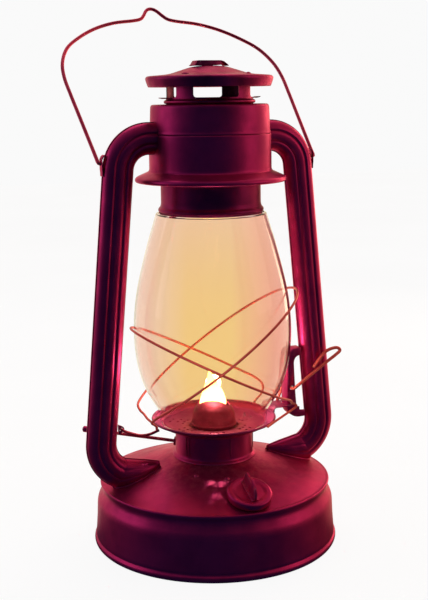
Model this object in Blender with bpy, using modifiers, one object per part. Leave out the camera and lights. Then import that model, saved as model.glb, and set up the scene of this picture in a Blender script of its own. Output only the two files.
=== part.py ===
"""Barn lantern: an oil lantern with two air tubes, a lift-up globe and a wire bail.

Frame: +Z up, the origin at the centre of the base, +X through the right-hand air tube (the
side with the globe lever) and -Y to the front (the side with the filler cap).
Lengths below are in millimetres and MM turns them into Blender's metres.
"""

import math

import bmesh
import bpy
from mathutils import Matrix, Vector

MM = 0.001
GAP = 0.3            # clearance between neighbouring pieces
SHEET = 0.6          # thickness of the pressed sheet metal
BIG_STEPS = 24       # facets round the large turned pieces
SMALL_STEPS = 20     # facets round the small turned pieces

# Fount, the oil tank at the bottom
BASE_RADIUS = 79.6
RIDGE_RADIUS = 74.8
RIDGE_Z = 40.1
COLLAR_RADIUS = 25.5
COLLAR_BASE_Z = 56.0
COLLAR_TOP_Z = 74.2
CONE_SLOPE = (COLLAR_BASE_Z - RIDGE_Z) / (RIDGE_RADIUS - COLLAR_RADIUS)

# Filler, on the front of the cone, tilted outwards
FILLER_Y = -60.0
FILLER_TILT = math.radians(21)
FILLER_TURN = math.radians(-2.4)
FILLER_CAP_RADIUS = 13.9
FILLER_BORE = 11.9

# Air tubes: oval section, an upper and a lower bend joined by a leaning straight
TUBE_HALF_WIDTH = 9.9
TUBE_HALF_DEPTH = 7.5
UPPER_BEND = (40.8, 240.9)
UPPER_BEND_RADIUS = 19.9
LOWER_BEND = (55.4, 70.3)
LOWER_BEND_RADIUS = 21.3
TUBE_END_X = 34.6

# Air chamber and hood at the top
CHAMBER_TOP_Z = 280.9
CHAMBER_SEAM_Z = 262.4
FLANGE_RADIUS = 47.6
FLANGE_Z = 234.2
CROWN_RADIUS = 26.7
WINDOW_Z = (285.0, 292.6)
WINDOWS = ((-102.2, 31.2), (-10.8, 32.7), (88.0, 38.3), (177.0, 22.0))   # middle, half, degrees
CAP_RADIUS = 39.6
CAP_BASE_Z = 291.4
CAP_TOP_Z = 304.2

# Globe and its carrier plate
GLOBE_TOP_Z = 214.0
GLOBE_BASE_Z = 77.7
PLATE_RIM_RADIUS = 40.6
TAB_Z = 85.4
GUARD_WIRE = 0.8     # radius of the guard wires
GUARD_A = {"turn": -16.4, "middle": 121.7, "rise": 41.0, "radius": 54.6}
GUARD_B = {"turn": 176.0, "middle": 115.2, "rise": 26.0, "radius": 52.6}

# Bail
BAIL_WIRE = 1.15
BAIL_Z = 246.6
BAIL_LEG_X = 72.85
BAIL_LEAN = math.radians(46.9)

# Burner
WICK_TURN = math.radians(150.0)
SHAFT_TILT = math.radians(6.0)
SHAFT_Z = 58.0
SHAFT_OFFSET = 5.6
SHAFT_RADIUS = 1.15
KNOB_ALONG = 80.0
SPUR_RADIUS = 4.5
DOME_RADIUS = 15.0

# Globe lever, pivoted on the bracket of the right-hand tube
LEVER_PIVOT = (54.6, 94.0)
LEVER_WIRE = 0.95
LINK_PIVOT = (-63.4, 79.6)
LINK_WIRE = 1.0


def cone_z(radius):
    """Height of the fount's sloping top at a radius."""
    return COLLAR_BASE_Z - CONE_SLOPE * (radius - COLLAR_RADIUS)


def clear_scene():
    for obj in list(bpy.data.objects):
        bpy.data.objects.remove(obj, do_unlink=True)


def new_collection(name):
    group = bpy.data.collections.new(name)
    bpy.context.scene.collection.children.link(group)
    return group


clear_scene()
PARTS = new_collection("barn_lantern")
CUTTERS = new_collection("cutters")


def make_material(name, colour, roughness, metallic=0.0, alpha=1.0):
    material = bpy.data.materials.new(name)
    material.use_nodes = True
    shader = material.node_tree.nodes["Principled BSDF"]
    shader.inputs["Base Color"].default_value = (*colour, 1.0)
    shader.inputs["Roughness"].default_value = roughness
    shader.inputs["Metallic"].default_value = metallic
    shader.inputs["Alpha"].default_value = alpha
    return material


PAINT = make_material("burgundy_paint", (0.19, 0.012, 0.045), 0.35, 0.2)
DARK_PAINT = make_material("dark_paint", (0.09, 0.008, 0.04), 0.45, 0.2)
GLASS = make_material("clear_glass", (0.95, 0.9, 0.85), 0.03, 0.0, 0.3)
BRASS = make_material("aged_brass", (0.45, 0.22, 0.09), 0.4, 1.0)
STEEL = make_material("spring_steel", (0.35, 0.33, 0.33), 0.35, 1.0)
CORK = make_material("seal_cork", (0.35, 0.22, 0.12), 0.9)
COTTON = make_material("wick_cotton", (0.75, 0.68, 0.55), 0.95)


def place(obj, material, group=None):
    (group or PARTS).objects.link(obj)
    if material:
        obj.data.materials.append(material)
    return obj


def hide_cutter(obj):
    obj.hide_render = True
    obj.display_type = "WIRE"


def finish_round(obj):
    obj.data.shade_smooth()
    obj.data.set_sharp_from_angle(angle=math.radians(35))


def turned(name, profile, material, steps=BIG_STEPS):
    """A turned piece: the profile, in (radius, z), runs down the outer side.

    A profile with both ends on the axis makes a solid disc or cup; any other is closed into a ring.
    """
    on_axis = profile[0][0] == 0 and profile[-1][0] == 0
    mesh = bpy.data.meshes.new(name)
    vertices = [(r * MM, 0, z * MM) for r, z in profile]
    edges = [(i, i + 1) for i in range(len(profile) - 1)]
    if not on_axis:
        edges.append((len(profile) - 1, 0))
    mesh.from_pydata(vertices, edges, [])
    obj = place(bpy.data.objects.new(name, mesh), material)
    screw = obj.modifiers.new("turn", "SCREW")
    screw.steps = steps
    screw.render_steps = steps
    screw.use_merge_vertices = True
    screw.merge_threshold = 0.00001
    screw.use_smooth_shade = True
    return obj


def wire(name, points, radius, material, resolution=1):
    """A round wire along a list of points."""
    curve = bpy.data.curves.new(name, "CURVE")
    curve.dimensions = "3D"
    curve.bevel_depth = radius * MM
    curve.bevel_resolution = resolution
    curve.use_fill_caps = True
    spline = curve.splines.new("POLY")
    spline.points.add(len(points) - 1)
    for slot, point in zip(spline.points, points):
        slot.co = (*[value * MM for value in point], 1.0)
    return place(bpy.data.objects.new(name, curve), material)


def smooth_path(points, per_span=4):
    """Points of a Catmull-Rom curve through a few hand-placed ones."""
    corners = [Vector(point) for point in points]
    ends = [2 * corners[0] - corners[1]] + corners + [2 * corners[-1] - corners[-2]]
    path = []
    for i in range(1, len(ends) - 2):
        before, start, end, after = ends[i - 1:i + 3]
        for step in range(per_span):
            t = step / per_span
            path.append(0.5 * (2 * start + (end - before) * t
                               + (2 * before - 5 * start + 4 * end - after) * t ** 2
                               + (3 * start - before - 3 * end + after) * t ** 3))
    return [tuple(point) for point in path] + [tuple(corners[-1])]


def plate_outline(name, outline, thickness, material, group=None):
    """A flat piece: an outline in the XZ plane, with its thickness along Y."""
    curve = bpy.data.curves.new(name, "CURVE")
    curve.dimensions = "2D"
    curve.fill_mode = "BOTH"
    curve.extrude = thickness * MM / 2
    spline = curve.splines.new("POLY")
    spline.points.add(len(outline) - 1)
    for slot, (x, z) in zip(spline.points, outline):
        slot.co = (x * MM, z * MM, 0, 1.0)
    spline.use_cyclic_u = True
    flat = bpy.data.objects.new(name + "_outline", curve)
    PARTS.objects.link(flat)
    flat.rotation_euler.x = math.pi / 2
    return as_mesh(flat, name, material, group)


def as_mesh(source, name, material, group=None):
    """Turns a curve object into a closed mesh object of the same place and shape."""
    bpy.context.view_layer.update()
    evaluated = source.evaluated_get(bpy.context.evaluated_depsgraph_get())
    mesh = bpy.data.meshes.new_from_object(evaluated)
    mesh.name = name
    shape = bmesh.new()
    shape.from_mesh(mesh)
    bmesh.ops.remove_doubles(shape, verts=shape.verts, dist=0.00001)
    bmesh.ops.recalc_face_normals(shape, faces=shape.faces)
    shape.to_mesh(mesh)
    shape.free()
    mesh.materials.clear()
    obj = place(bpy.data.objects.new(name, mesh), material, group)
    obj.matrix_world = source.matrix_world.copy()
    bpy.data.objects.remove(source, do_unlink=True)
    return obj


def block(name, size, centre, material=None, group=None, turn=None):
    """A box of a size, in millimetres, at a centre, turned by a rotation matrix."""
    mesh = bpy.data.meshes.new(name)
    shape = bmesh.new()
    bmesh.ops.create_cube(shape, size=1.0)
    bmesh.ops.scale(shape, verts=shape.verts, vec=[value * MM for value in size])
    shape.to_mesh(mesh)
    shape.free()
    obj = place(bpy.data.objects.new(name, mesh), material, group)
    rotation = turn.to_4x4() if turn else Matrix.Identity(4)
    obj.matrix_world = Matrix.Translation(Vector(centre) * MM) @ rotation
    return obj


def cylinder(name, radius, length, centre, axis, material=None, group=None, segments=16, squash=1.0):
    """A cylinder centred on a point, along an axis; squash narrows it along its own Y."""
    mesh = bpy.data.meshes.new(name)
    shape = bmesh.new()
    bmesh.ops.create_cone(shape, cap_ends=True, segments=segments, radius1=radius * MM,
                          radius2=radius * MM, depth=length * MM)
    bmesh.ops.scale(shape, verts=shape.verts, vec=(1.0, squash, 1.0))
    shape.to_mesh(mesh)
    shape.free()
    obj = place(bpy.data.objects.new(name, mesh), material, group)
    along = Vector(axis).normalized().to_track_quat("Z", "Y").to_matrix().to_4x4()
    obj.matrix_world = Matrix.Translation(Vector(centre) * MM) @ along
    return obj


def cut(obj, cutter, operation="DIFFERENCE"):
    """Cuts a cutter out of a piece, or joins it on, with a Boolean modifier."""
    boolean = obj.modifiers.new(cutter.name, "BOOLEAN")
    boolean.operation = operation
    boolean.solver = "EXACT"
    boolean.object = cutter
    hide_cutter(cutter)


def arc(centre, radius, start, end, count):
    """Points of an arc in the XZ plane, angles in degrees from +X towards +Z."""
    angles = [math.radians(start + (end - start) * i / (count - 1)) for i in range(count)]
    return [(centre[0] + radius * math.cos(a), centre[1] + radius * math.sin(a)) for a in angles]


# ---------------------------------------------------------------- fount

def filler_frame():
    """Matrix of the filler's own frame: +Z along its tilted axis, origin on the cone."""
    centre = Vector((0, FILLER_Y, cone_z(abs(FILLER_Y)))) * MM
    tilted = Matrix.Translation(centre) @ Matrix.Rotation(FILLER_TILT, 4, "X")
    return Matrix.Rotation(FILLER_TURN, 4, "Z") @ tilted


def build_fount():
    outer = [(20.5, cone_z(20.5)), (73.6, cone_z(73.6)), (RIDGE_RADIUS, 39.6), (74.2, 37.6),
             (74.0, 35.2), (74.9, 32.2), (76.3, 29.7), (77.1, 26.4), (77.5, 17.0), (78.6, 6.4),
             (78.3, 4.9), (79.3, 4.0), (BASE_RADIUS, 2.0), (79.2, 0.4), (78.4, 0.0)]
    inner = [(77.3, 0.0), (77.3, 5.5), (76.8, 17.0), (75.5, 29.0), (73.3, 34.6),
             (72.9, cone_z(72.9) - 0.8), (20.5, cone_z(20.5) - 0.8)]
    shell = turned("tank_shell", outer + inner, PAINT)
    bore = cylinder("filler_bore_cutter", FILLER_BORE + GAP, 60, (0, 0, 0), (0, 0, 1), None,
                    CUTTERS, 24)
    bore.matrix_world = filler_frame()
    cut(shell, bore)

    turned("tank_bottom", [(0, 0.7), (61.8, 0.7), (63.2, 1.9), (66.8, 1.9), (68.2, 0.7), (75.9, 0.7),
                           (75.9, 7.0), (76.5, 7.0), (76.5, 0.4), (76.0, 0.0), (68.4, 0.0),
                           (67.0, 1.2), (63.0, 1.2), (61.6, 0.0), (0, 0.0)], PAINT)
    deck = turned("air_deck", [(11.0, 33.4), (72.3, 33.4), (72.9, 35.6), (73.0, 35.0), (72.7, 32.8),
                               (11.0, 32.8)], DARK_PAINT)
    cut(deck, bore)

    turned("burner_collar", [(24.2, COLLAR_TOP_Z), (25.3, COLLAR_TOP_Z - 0.3),
                             (COLLAR_RADIUS, COLLAR_TOP_Z - 1.0), (COLLAR_RADIUS, 58.4),
                             (27.8, cone_z(27.8) + 1.0), (27.8, cone_z(27.8) + 0.35),
                             (24.9, cone_z(24.9) + 0.35), (24.9, COLLAR_TOP_Z - 0.8),
                             (24.2, COLLAR_TOP_Z - 0.6)], PAINT)


def build_filler():
    frame = filler_frame()
    pieces = {
        "filler_neck": (PAINT, [(11.2, 2.7), (FILLER_BORE, 2.7), (FILLER_BORE, -15.0), (11.2, -15.0)]),
        "filler_gasket": (CORK, [(8.0, 4.3), (12.2, 4.3), (12.2, 3.0), (8.0, 3.0)]),
        "filler_cap": (PAINT, [(0, 5.7), (9.5, 5.6), (12.6, 6.0), (13.6, 5.6), (FILLER_CAP_RADIUS, 4.9),
                               (FILLER_CAP_RADIUS, 1.7), (13.2, 1.7), (13.2, 4.6), (9.0, 4.6),
                               (0, 4.6)]),
    }
    for name, (material, profile) in pieces.items():
        turned(name, profile, material, SMALL_STEPS).matrix_world = frame
    wing = [(-10.2, 6.3)] + arc((0, 6.3), 9.2, 165, 15, 9) + [(10.2, 6.3)]
    fin = plate_outline("filler_cap_wing", wing, 1.3, PAINT)
    fin.matrix_world = frame @ Matrix.Rotation(math.pi / 2, 4, "Z") @ fin.matrix_world


# ---------------------------------------------------------------- air tubes

def tube_stations():
    """Stations down a tube: (inner point, outer point, half depth, sweep).

    The section is a half oval from the inner to the outer point. Its sweep is 180 degrees in the
    tube and falls to 90 in the foot, where the outer end runs along the sloping top of the fount.
    """
    width = TUBE_HALF_WIDTH
    stations = []

    def station(centre, angle, radius):
        across, down = math.cos(angle), math.sin(angle)
        near = (centre[0] + (radius - width) * across, centre[1] + (radius - width) * down)
        far = (centre[0] + (radius + width) * across, centre[1] + (radius + width) * down)
        stations.append((near, far, TUBE_HALF_DEPTH, 180.0))

    top = UPPER_BEND[1] + UPPER_BEND_RADIUS
    stations.append(((TUBE_END_X, top - width), (TUBE_END_X, top + width), TUBE_HALF_DEPTH, 180.0))
    for degrees in (90, 78, 66, 54, 42, 30, 18, 5.4):
        station(UPPER_BEND, math.radians(degrees), UPPER_BEND_RADIUS)
    for degrees in (5.4, -12, -26, -40, -52, -61):
        station(LOWER_BEND, math.radians(degrees), LOWER_BEND_RADIUS)
    foot = [((59.5, 59.7), 67.2, 7.7, 150.0), ((55.0, 58.7), 62.5, 7.9, 120.0),
            ((50.0, 57.7), 55.0, 7.6, 103.0), ((45.0, 56.6), 47.5, 5.9, 94.0),
            ((40.5, 55.4), 41.5, 3.4, 90.0), ((38.4, 54.9), 38.4, 1.6, 90.0)]
    for inner, outer_x, depth, sweep in foot:
        side = depth * math.sin(math.radians(sweep))
        outer = (outer_x, cone_z(math.hypot(outer_x, side)) + 0.4)
        stations.append((inner, outer, depth, sweep))
    return stations


def half_section(inner, outer, depth, sweep, sheet, side, count=6):
    """One pressed half of the tube's wall at a station, as a closed ring of points."""
    span = Vector((outer[0] - inner[0], 0, outer[1] - inner[1]))
    unit = span.normalized()
    closing = -math.cos(math.radians(sweep))
    seam = GAP / 2

    def skin(start, stop, reach):
        total = 1 - math.cos(math.radians(sweep))
        for i in range(count):
            angle = math.radians(sweep) * i / (count - 1)
            point = start + (stop - start) * (1 - math.cos(angle)) / total
            yield Vector((point.x, side * max(reach * math.sin(angle), seam), point.z))

    first = Vector((inner[0], 0, inner[1]))
    last = Vector((outer[0], 0, outer[1]))
    outside = list(skin(first, last, depth))
    inside = list(skin(first + unit * sheet, last - unit * sheet * closing, depth - sheet))
    return outside + inside[::-1]


def build_tube_half(name, hand, side):
    """A pressed half of a tube; hand is +1 for the right tube, side is -1 for the front half."""
    mesh = bpy.data.meshes.new(name)
    shape = bmesh.new()
    rings = []
    for inner, outer, depth, sweep in tube_stations():
        ring = half_section(inner, outer, depth, sweep, SHEET, side)
        rings.append([shape.verts.new((hand * p.x * MM, p.y * MM, p.z * MM)) for p in ring])
    for upper, lower in zip(rings, rings[1:]):
        for i in range(len(upper)):
            j = (i + 1) % len(upper)
            shape.faces.new((upper[i], upper[j], lower[j], lower[i]))
    shape.faces.new(rings[0][::-1])
    shape.faces.new(rings[-1])
    bmesh.ops.recalc_face_normals(shape, faces=shape.faces)
    shape.to_mesh(mesh)
    shape.free()
    obj = place(bpy.data.objects.new(name, mesh), PAINT)
    finish_round(obj)
    return obj


def build_tubes():
    for hand, label in ((1, "right"), (-1, "left")):
        build_tube_half("tube_" + label + "_front", hand, -1)
        build_tube_half("tube_" + label + "_rear", hand, 1)
        build_bail_ear("bail_ear_" + label, hand)


def build_bail_ear(name, hand):
    """A small hat-shaped strap on the tube's outer side, with a hole for the bail's end."""
    face = BAIL_LEG_X - BAIL_WIRE - GAP
    outline = [(71.8, 239.4), (71.8, 240.6), (face, 242.6), (face, 250.2), (70.0, 253.4),
               (69.0, 253.0), (face - 0.5, 249.6), (face - 0.5, 242.9), (71.2, 240.9), (71.1, 239.4)]
    outline = [(hand * x, z) for x, z in outline]
    ear = plate_outline(name, outline, 7.0, PAINT)
    hole = cylinder(name + "_cutter", BAIL_WIRE + GAP, 8, (hand * face, 0, BAIL_Z), (1, 0, 0),
                    None, CUTTERS, 12)
    cut(ear, hole)


# ---------------------------------------------------------------- air chamber and hood

def build_chamber():
    centre = Vector((0, 0, UPPER_BEND[1] + UPPER_BEND_RADIUS))
    clear = TUBE_HALF_WIDTH + 0.5
    mouth = cylinder("tube_mouth_cutter", clear, 120, centre, (1, 0, 0), None, CUTTERS, 20,
                     squash=(TUBE_HALF_DEPTH + 0.5) / clear)
    mouth.matrix_world = Matrix.Translation(centre * MM) @ Matrix.Rotation(math.pi / 2, 4, "Y")
    lower = turned("chamber_lower", [
        (37.6, CHAMBER_SEAM_Z), (38.0, 240.6), (38.5, 239.8), (46.2, 237.7), (47.3, 236.9),
        (FLANGE_RADIUS, 235.7), (47.3, 234.6), (46.3, FLANGE_Z), (45.4, 234.6), (45.1, 236.6),
        (38.0, 238.9), (37.4, 240.2), (37.1, CHAMBER_SEAM_Z)], PAINT)
    upper = turned("chamber_upper", [
        (27.4, CHAMBER_TOP_Z), (36.0, CHAMBER_TOP_Z), (36.6, CHAMBER_TOP_Z - 0.6),
        (36.8, CHAMBER_SEAM_Z - 2.4), (36.3, CHAMBER_SEAM_Z - 2.4), (36.1, CHAMBER_TOP_Z - 0.8),
        (35.8, CHAMBER_TOP_Z - 0.6), (27.4, CHAMBER_TOP_Z - 0.6)], PAINT)
    cut(lower, mouth)
    cut(upper, mouth)


def build_hood():
    turned("hood_chimney", [
        (25.9, 279.5), (25.9, 246.0), (27.5, 243.0), (31.6, 238.5), (31.7, 219.6), (32.2, 217.4),
        (33.3, 216.2), (33.3, 215.0), (32.4, 214.5), (32.4, 212.8), (31.8, 212.8), (31.8, 215.2),
        (32.4, 215.8), (31.6, 217.0), (31.1, 219.6), (31.0, 238.2), (27.0, 242.3), (25.3, 245.7),
        (25.3, 279.5)], PAINT)
    crown = turned("hood_crown", [
        (CROWN_RADIUS, 297.2), (CROWN_RADIUS, 283.8), (28.3, 283.3), (28.3, 281.4),
        (CROWN_RADIUS, 281.2), (CROWN_RADIUS, 264.0), (26.2, 264.0), (26.2, 297.2)], PAINT)
    height = WINDOW_Z[1] - WINDOW_Z[0]
    for number, (middle, half) in enumerate(WINDOWS):
        turn = Matrix.Rotation(math.radians(middle), 3, "Z")
        width = 2 * CROWN_RADIUS * math.sin(math.radians(half))
        window = block("window_cutter_%d" % number, (CROWN_RADIUS, width, height),
                       turn @ Vector((CROWN_RADIUS, 0, sum(WINDOW_Z) / 2)), None, CUTTERS, turn)
        cut(crown, window)
        centre = turn @ Vector((CROWN_RADIUS + 1.9, 0, WINDOW_Z[0] - 0.35))
        flap = block("flap_shape_%d" % number, (5.0, 15.0, 0.5), centre, None, CUTTERS, turn)
        cut(crown, flap, "UNION")

    turned("hood_cap", [
        (0, CAP_TOP_Z), (8.0, 304.1), (11.5, 303.6), (19.0, 301.3), (24.0, 299.4), (28.0, 298.6),
        (38.2, 298.0), (39.3, 297.4), (CAP_RADIUS, 296.4), (37.9, CAP_BASE_Z), (37.2, CAP_BASE_Z),
        (38.8, 296.4), (38.0, 297.3), (28.0, 297.9), (24.0, 298.7), (19.0, 300.6), (11.5, 302.9),
        (0, 303.5)], PAINT)

    outer = [(-11.8, 304.7), (-9.4, 307.3), (6.4, 307.3), (8.8, 306.4), (11.4, 304.5)]
    inner = [(10.7, 304.1), (8.3, 305.8), (6.2, 306.6), (-9.1, 306.6), (-11.0, 304.7)]
    strap = plate_outline("hood_handle", outer + inner, 9.0, PAINT)
    flange = [(-10.6, 304.8), (-8.9, 306.9), (6.2, 306.9), (6.2, 304.8)]
    for side in (-1, 1):
        skirt = plate_outline("strap_flange_%d" % (side + 1), flange, 0.6, None, CUTTERS)
        skirt.location.y = side * 4.0 * MM
        cut(strap, skirt, "UNION")


def build_hood_spring():
    turns = 4
    per_turn = 12
    low, high, radius = 243.4, 279.5, 29.4
    points = []
    for i in range(turns * per_turn + 1):
        angle = 2 * math.pi * i / per_turn
        height = low + (high - low) * i / (turns * per_turn)
        points.append((radius * math.cos(angle), radius * math.sin(angle), height))
    wire("hood_spring", points, 0.6, STEEL)


# ---------------------------------------------------------------- globe and carrier

def build_globe():
    outer = [(33.2, GLOBE_TOP_Z), (34.6, 213.9), (35.3, 212.6), (39.8, 197.5), (44.0, 182.0),
             (48.0, 165.0), (49.9, 152.5), (50.5, 139.0), (49.9, 126.0), (48.2, 114.0), (45.2, 103.5),
             (41.0, 95.0), (37.0, 88.6), (34.9, 83.5), (34.5, GLOBE_BASE_Z)]
    inner = [(32.7, GLOBE_BASE_Z), (33.0, 84.2), (39.4, 95.8), (43.4, 104.2), (46.3, 114.6),
             (47.9, 126.3), (48.5, 139.0), (47.9, 152.2), (46.1, 164.6), (37.9, 197.0), (33.4, 211.6)]
    turned("globe", outer + inner, GLASS)


def build_carrier():
    plate = turned("globe_plate", [
        (39.4, 80.5), (40.2, 80.5), (PLATE_RIM_RADIUS, 79.9), (40.2, 79.0), (33.2, 75.6),
        (27.0, 74.6), (16.2, 74.6), (16.2, 75.2), (26.9, 75.2), (32.8, 76.2), (39.1, 79.4)], PAINT)
    tab = [(39.4, 79.7), (40.9, TAB_Z), (50.0, TAB_Z), (50.0, TAB_Z - 0.7), (41.5, TAB_Z - 0.7), (40.2, 79.5)]
    ear = plate_outline("plate_tab_shape", tab, 12.0, None, CUTTERS)
    cut(plate, ear, "UNION")
    for side in (-1, 1):
        finger = block("plate_finger_%d" % (side + 1), (3.9, 1.1, 0.7), (51.2, side * 5.45, TAB_Z - 0.35),
                       None, CUTTERS)
        cut(plate, finger, "UNION")
    wire("guard_wire_a", guard_a_path(), GUARD_WIRE, PAINT)
    wire("guard_wire_b", guard_b_path(), GUARD_WIRE, PAINT)


def guard_point(guard, degrees):
    """A point on a guard's tilted ring, at a plan angle in degrees."""
    angle = math.radians(degrees)
    height = guard["middle"] + guard["rise"] * math.cos(angle - math.radians(guard["turn"]))
    return (guard["radius"] * math.cos(angle), guard["radius"] * math.sin(angle), height)


def guard_a_path():
    """From the hook at the rear left of the plate, round the right side, to the front left."""
    rear = [(-38.6, 13.6, 77.4), (-39.6, 18.6, 78.6), (-40.4, 22.6, 80.6), (-42.0, 26.0, 82.8),
            (-41.4, 30.4, 86.6)]
    front = [(-49.0, -19.5, 87.9), (-45.0, -12.0, 83.2), (-42.6, -8.8, 80.6), (-42.2, -7.2, 79.0)]
    ring = [guard_point(GUARD_A, angle) for angle in range(122, -150, -11)]
    return smooth_path(rear, 2) + ring + smooth_path(front, 2)


def guard_b_path():
    """From the hook at the rear right of the plate, round the left side, to the front right."""
    rear = [(34.6, 17.2, 76.1), (38.0, 19.0, 77.0), (40.0, 20.3, 79.6), (43.8, 17.0, 86.0),
            (44.8, 18.6, 92.0)]
    front = [(39.0, -33.5, 94.6), (47.0, -20.5, 88.4), (52.8, -13.4, 85.2), (54.0, -12.6, 83.8),
             (52.6, -13.5, 83.0), (45.0, -19.3, 82.4), (37.0, -25.3, 81.8), (29.0, -31.3, 81.2),
             (21.5, -36.9, 80.4)]
    ring = [guard_point(GUARD_B, angle) for angle in range(34, 304, 11)]
    return smooth_path(rear, 2) + ring + smooth_path(front, 2)


def build_bracket():
    """The lift bracket: a C-shaped strap on the right tube, with a channel that guides the plate."""
    inside = [(61.7, 120.6), (57.5, 120.6), (54.3, 119.0), (52.5, 115.0), (51.9, 108.0), (51.5, 83.6),
              (52.3, 80.2), (55.1, 77.4), (58.9, 76.2), (65.5, 77.0)]
    outside = [(65.5, 76.2), (58.9, 75.3), (54.7, 76.5), (51.5, 79.7), (50.7, 83.4), (51.1, 108.0),
               (51.7, 115.2), (53.7, 119.6), (57.3, 121.4), (61.7, 121.4)]
    bracket = plate_outline("lift_bracket", inside + outside, 9.0, PAINT)
    flange = [(61.5, 121.0), (57.3, 121.0), (54.0, 119.2), (52.1, 115.1), (51.5, 108.0), (51.1, 83.5),
              (51.9, 79.9), (54.9, 76.9), (58.9, 75.8), (62.3, 76.3), (62.3, 79.4), (59.6, 79.8),
              (57.6, 82.0), (57.2, 90.0), (57.3, 111.0), (58.3, 114.6), (61.5, 116.2)]
    for side in (-1, 1):
        wall = plate_outline("bracket_flange_%d" % (side + 1), flange, 0.8, None, CUTTERS)
        wall.location.y = side * 3.95 * MM
        cut(bracket, wall, "UNION")
    bore = cylinder("lever_bore_cutter", LEVER_WIRE + GAP, 20, (LEVER_PIVOT[0], 0, LEVER_PIVOT[1]),
                    (0, 1, 0), None, CUTTERS, 12)
    cut(bracket, bore)


def build_lever():
    """The globe lever: crank under the plate's tab, pivot through the bracket, and a thumb loop."""
    x, z = LEVER_PIVOT
    crank = [(48.6, 3.0, TAB_Z - 2.1), (48.6, 7.4, TAB_Z - 2.1), (x, 7.4, z)]
    arm = smooth_path([(x, -7.0, z), (59.8, -9.8, 98.9), (68.3, -10.2, 104.7), (77.1, -10.5, 110.5),
                       (84.4, -10.6, 115.0), (87.7, -10.7, 117.6), (85.3, -10.7, 119.7),
                       (80.6, -10.6, 119.4), (76.2, -10.4, 117.4), (72.0, -10.3, 113.2),
                       (67.9, -10.2, 107.9)], 3)
    lever = wire("lift_lever", [(px - x, py, pz - z) for px, py, pz in crank + arm], LEVER_WIRE, PAINT)
    lever.location = (x * MM, 0, z * MM)


def build_link():
    """The plate's guide on the left: a lug on the tube and a wire that swings in it."""
    x, z = LINK_PIVOT
    outline = [(-65.3, z - 3.4), (-65.3, z + 3.4)] + arc((x, z), 2.4, 60, -60, 7)
    lug = plate_outline("link_lug", outline, 1.2, PAINT)
    hole = cylinder("link_lug_cutter", LINK_WIRE + GAP, 6, (x, 0, z), (0, 1, 0), None, CUTTERS, 12)
    cut(lug, hole)
    path = [(x, 2.2, z), (x, -2.2, z)] + smooth_path([(-61.6, -2.4, 78.6), (-57.4, -2.0, 76.6),
                                                      (-51.0, -1.2, 74.2), (-44.6, -1.0, 74.1),
                                                      (-38.4, -1.0, 76.0)], 3)
    link = wire("plate_link", [(px - x, py, pz - z) for px, py, pz in path], LINK_WIRE, PAINT)
    link.location = (x * MM, 0, z * MM)


# ---------------------------------------------------------------- bail

def build_bail():
    """The wire bail, drawn upright and then leant back about the line through the two ears."""
    half = [(0.0, 145.2), (3.3, 143.8), (6.4, 139.2), (10.0, 134.2), (16.0, 132.6), (31.0, 129.6),
            (46.0, 123.2), (59.4, 113.6), (69.0, 103.6), (75.0, 90.0), (76.9, 76.0), (76.3, 60.0),
            (75.2, 42.0), (74.0, 22.0), (73.1, 7.0), (BAIL_LEG_X, 2.2)]
    right = smooth_path([(x, 0, z) for x, z in half], 2)
    right += [(BAIL_LEG_X, 0, 0), (BAIL_LEG_X - 2.35, 0, 0)]
    left = [(-x, y, z) for x, y, z in right[:0:-1]]
    bail = wire("bail", left + right, BAIL_WIRE, PAINT)
    bail.location = (0, 0, BAIL_Z * MM)
    bail.rotation_euler.x = -BAIL_LEAN


# ---------------------------------------------------------------- burner

def build_burner():
    turn = Matrix.Rotation(WICK_TURN, 3, "Z")
    body = turned("burner_body", [
        (0, 66.6), (12.6, 66.6), (12.6, 78.6), (13.2, 78.6), (13.2, 74.1), (23.9, 73.9),
        (23.9, 73.3), (13.2, 73.2), (13.2, 66.0), (0, 66.0)], BRASS)
    slot = block("burner_slot_cutter", (18.2, 3.9, 30), (0, 0, 66), None, CUTTERS, turn)
    cut(body, slot)
    dome = turned("burner_dome", [
        (0, 91.7), (5.0, 91.2), (9.0, 89.6), (12.0, 86.8), (13.5, 84.0), (14.2, 77.2),
        (DOME_RADIUS, 76.7), (DOME_RADIUS, 75.9), (13.7, 75.9), (13.0, 83.7), (11.6, 86.4),
        (8.7, 89.0), (4.9, 90.6), (0, 91.1)], BRASS, SMALL_STEPS)
    blaze = block("dome_slot_cutter", (23.0, 7.0, 20), (0, 0, 95.0), None, CUTTERS, turn)
    cut(dome, blaze)

    tube = block("wick_tube", (17.4, 3.2, 50.0), (0, 0, 61.0), BRASS, None, turn)
    bore = block("wick_bore_cutter", (16.6, 2.2, 60.0), (0, 0, 61.0), None, CUTTERS, turn)
    cut(tube, bore)
    block("wick", (15.8, 1.5, 78.5), (0, 0, 48.25), COTTON, None, turn)


def shaft_point(along):
    """A point on the wick shaft's axis, at a distance along it from the wick."""
    outward = Vector((math.cos(WICK_TURN), math.sin(WICK_TURN), 0)) * along * math.cos(SHAFT_TILT)
    aside = Vector((math.sin(WICK_TURN), -math.cos(WICK_TURN), 0)) * SHAFT_OFFSET
    return outward + aside + Vector((0, 0, SHAFT_Z + along * math.sin(SHAFT_TILT)))


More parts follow.
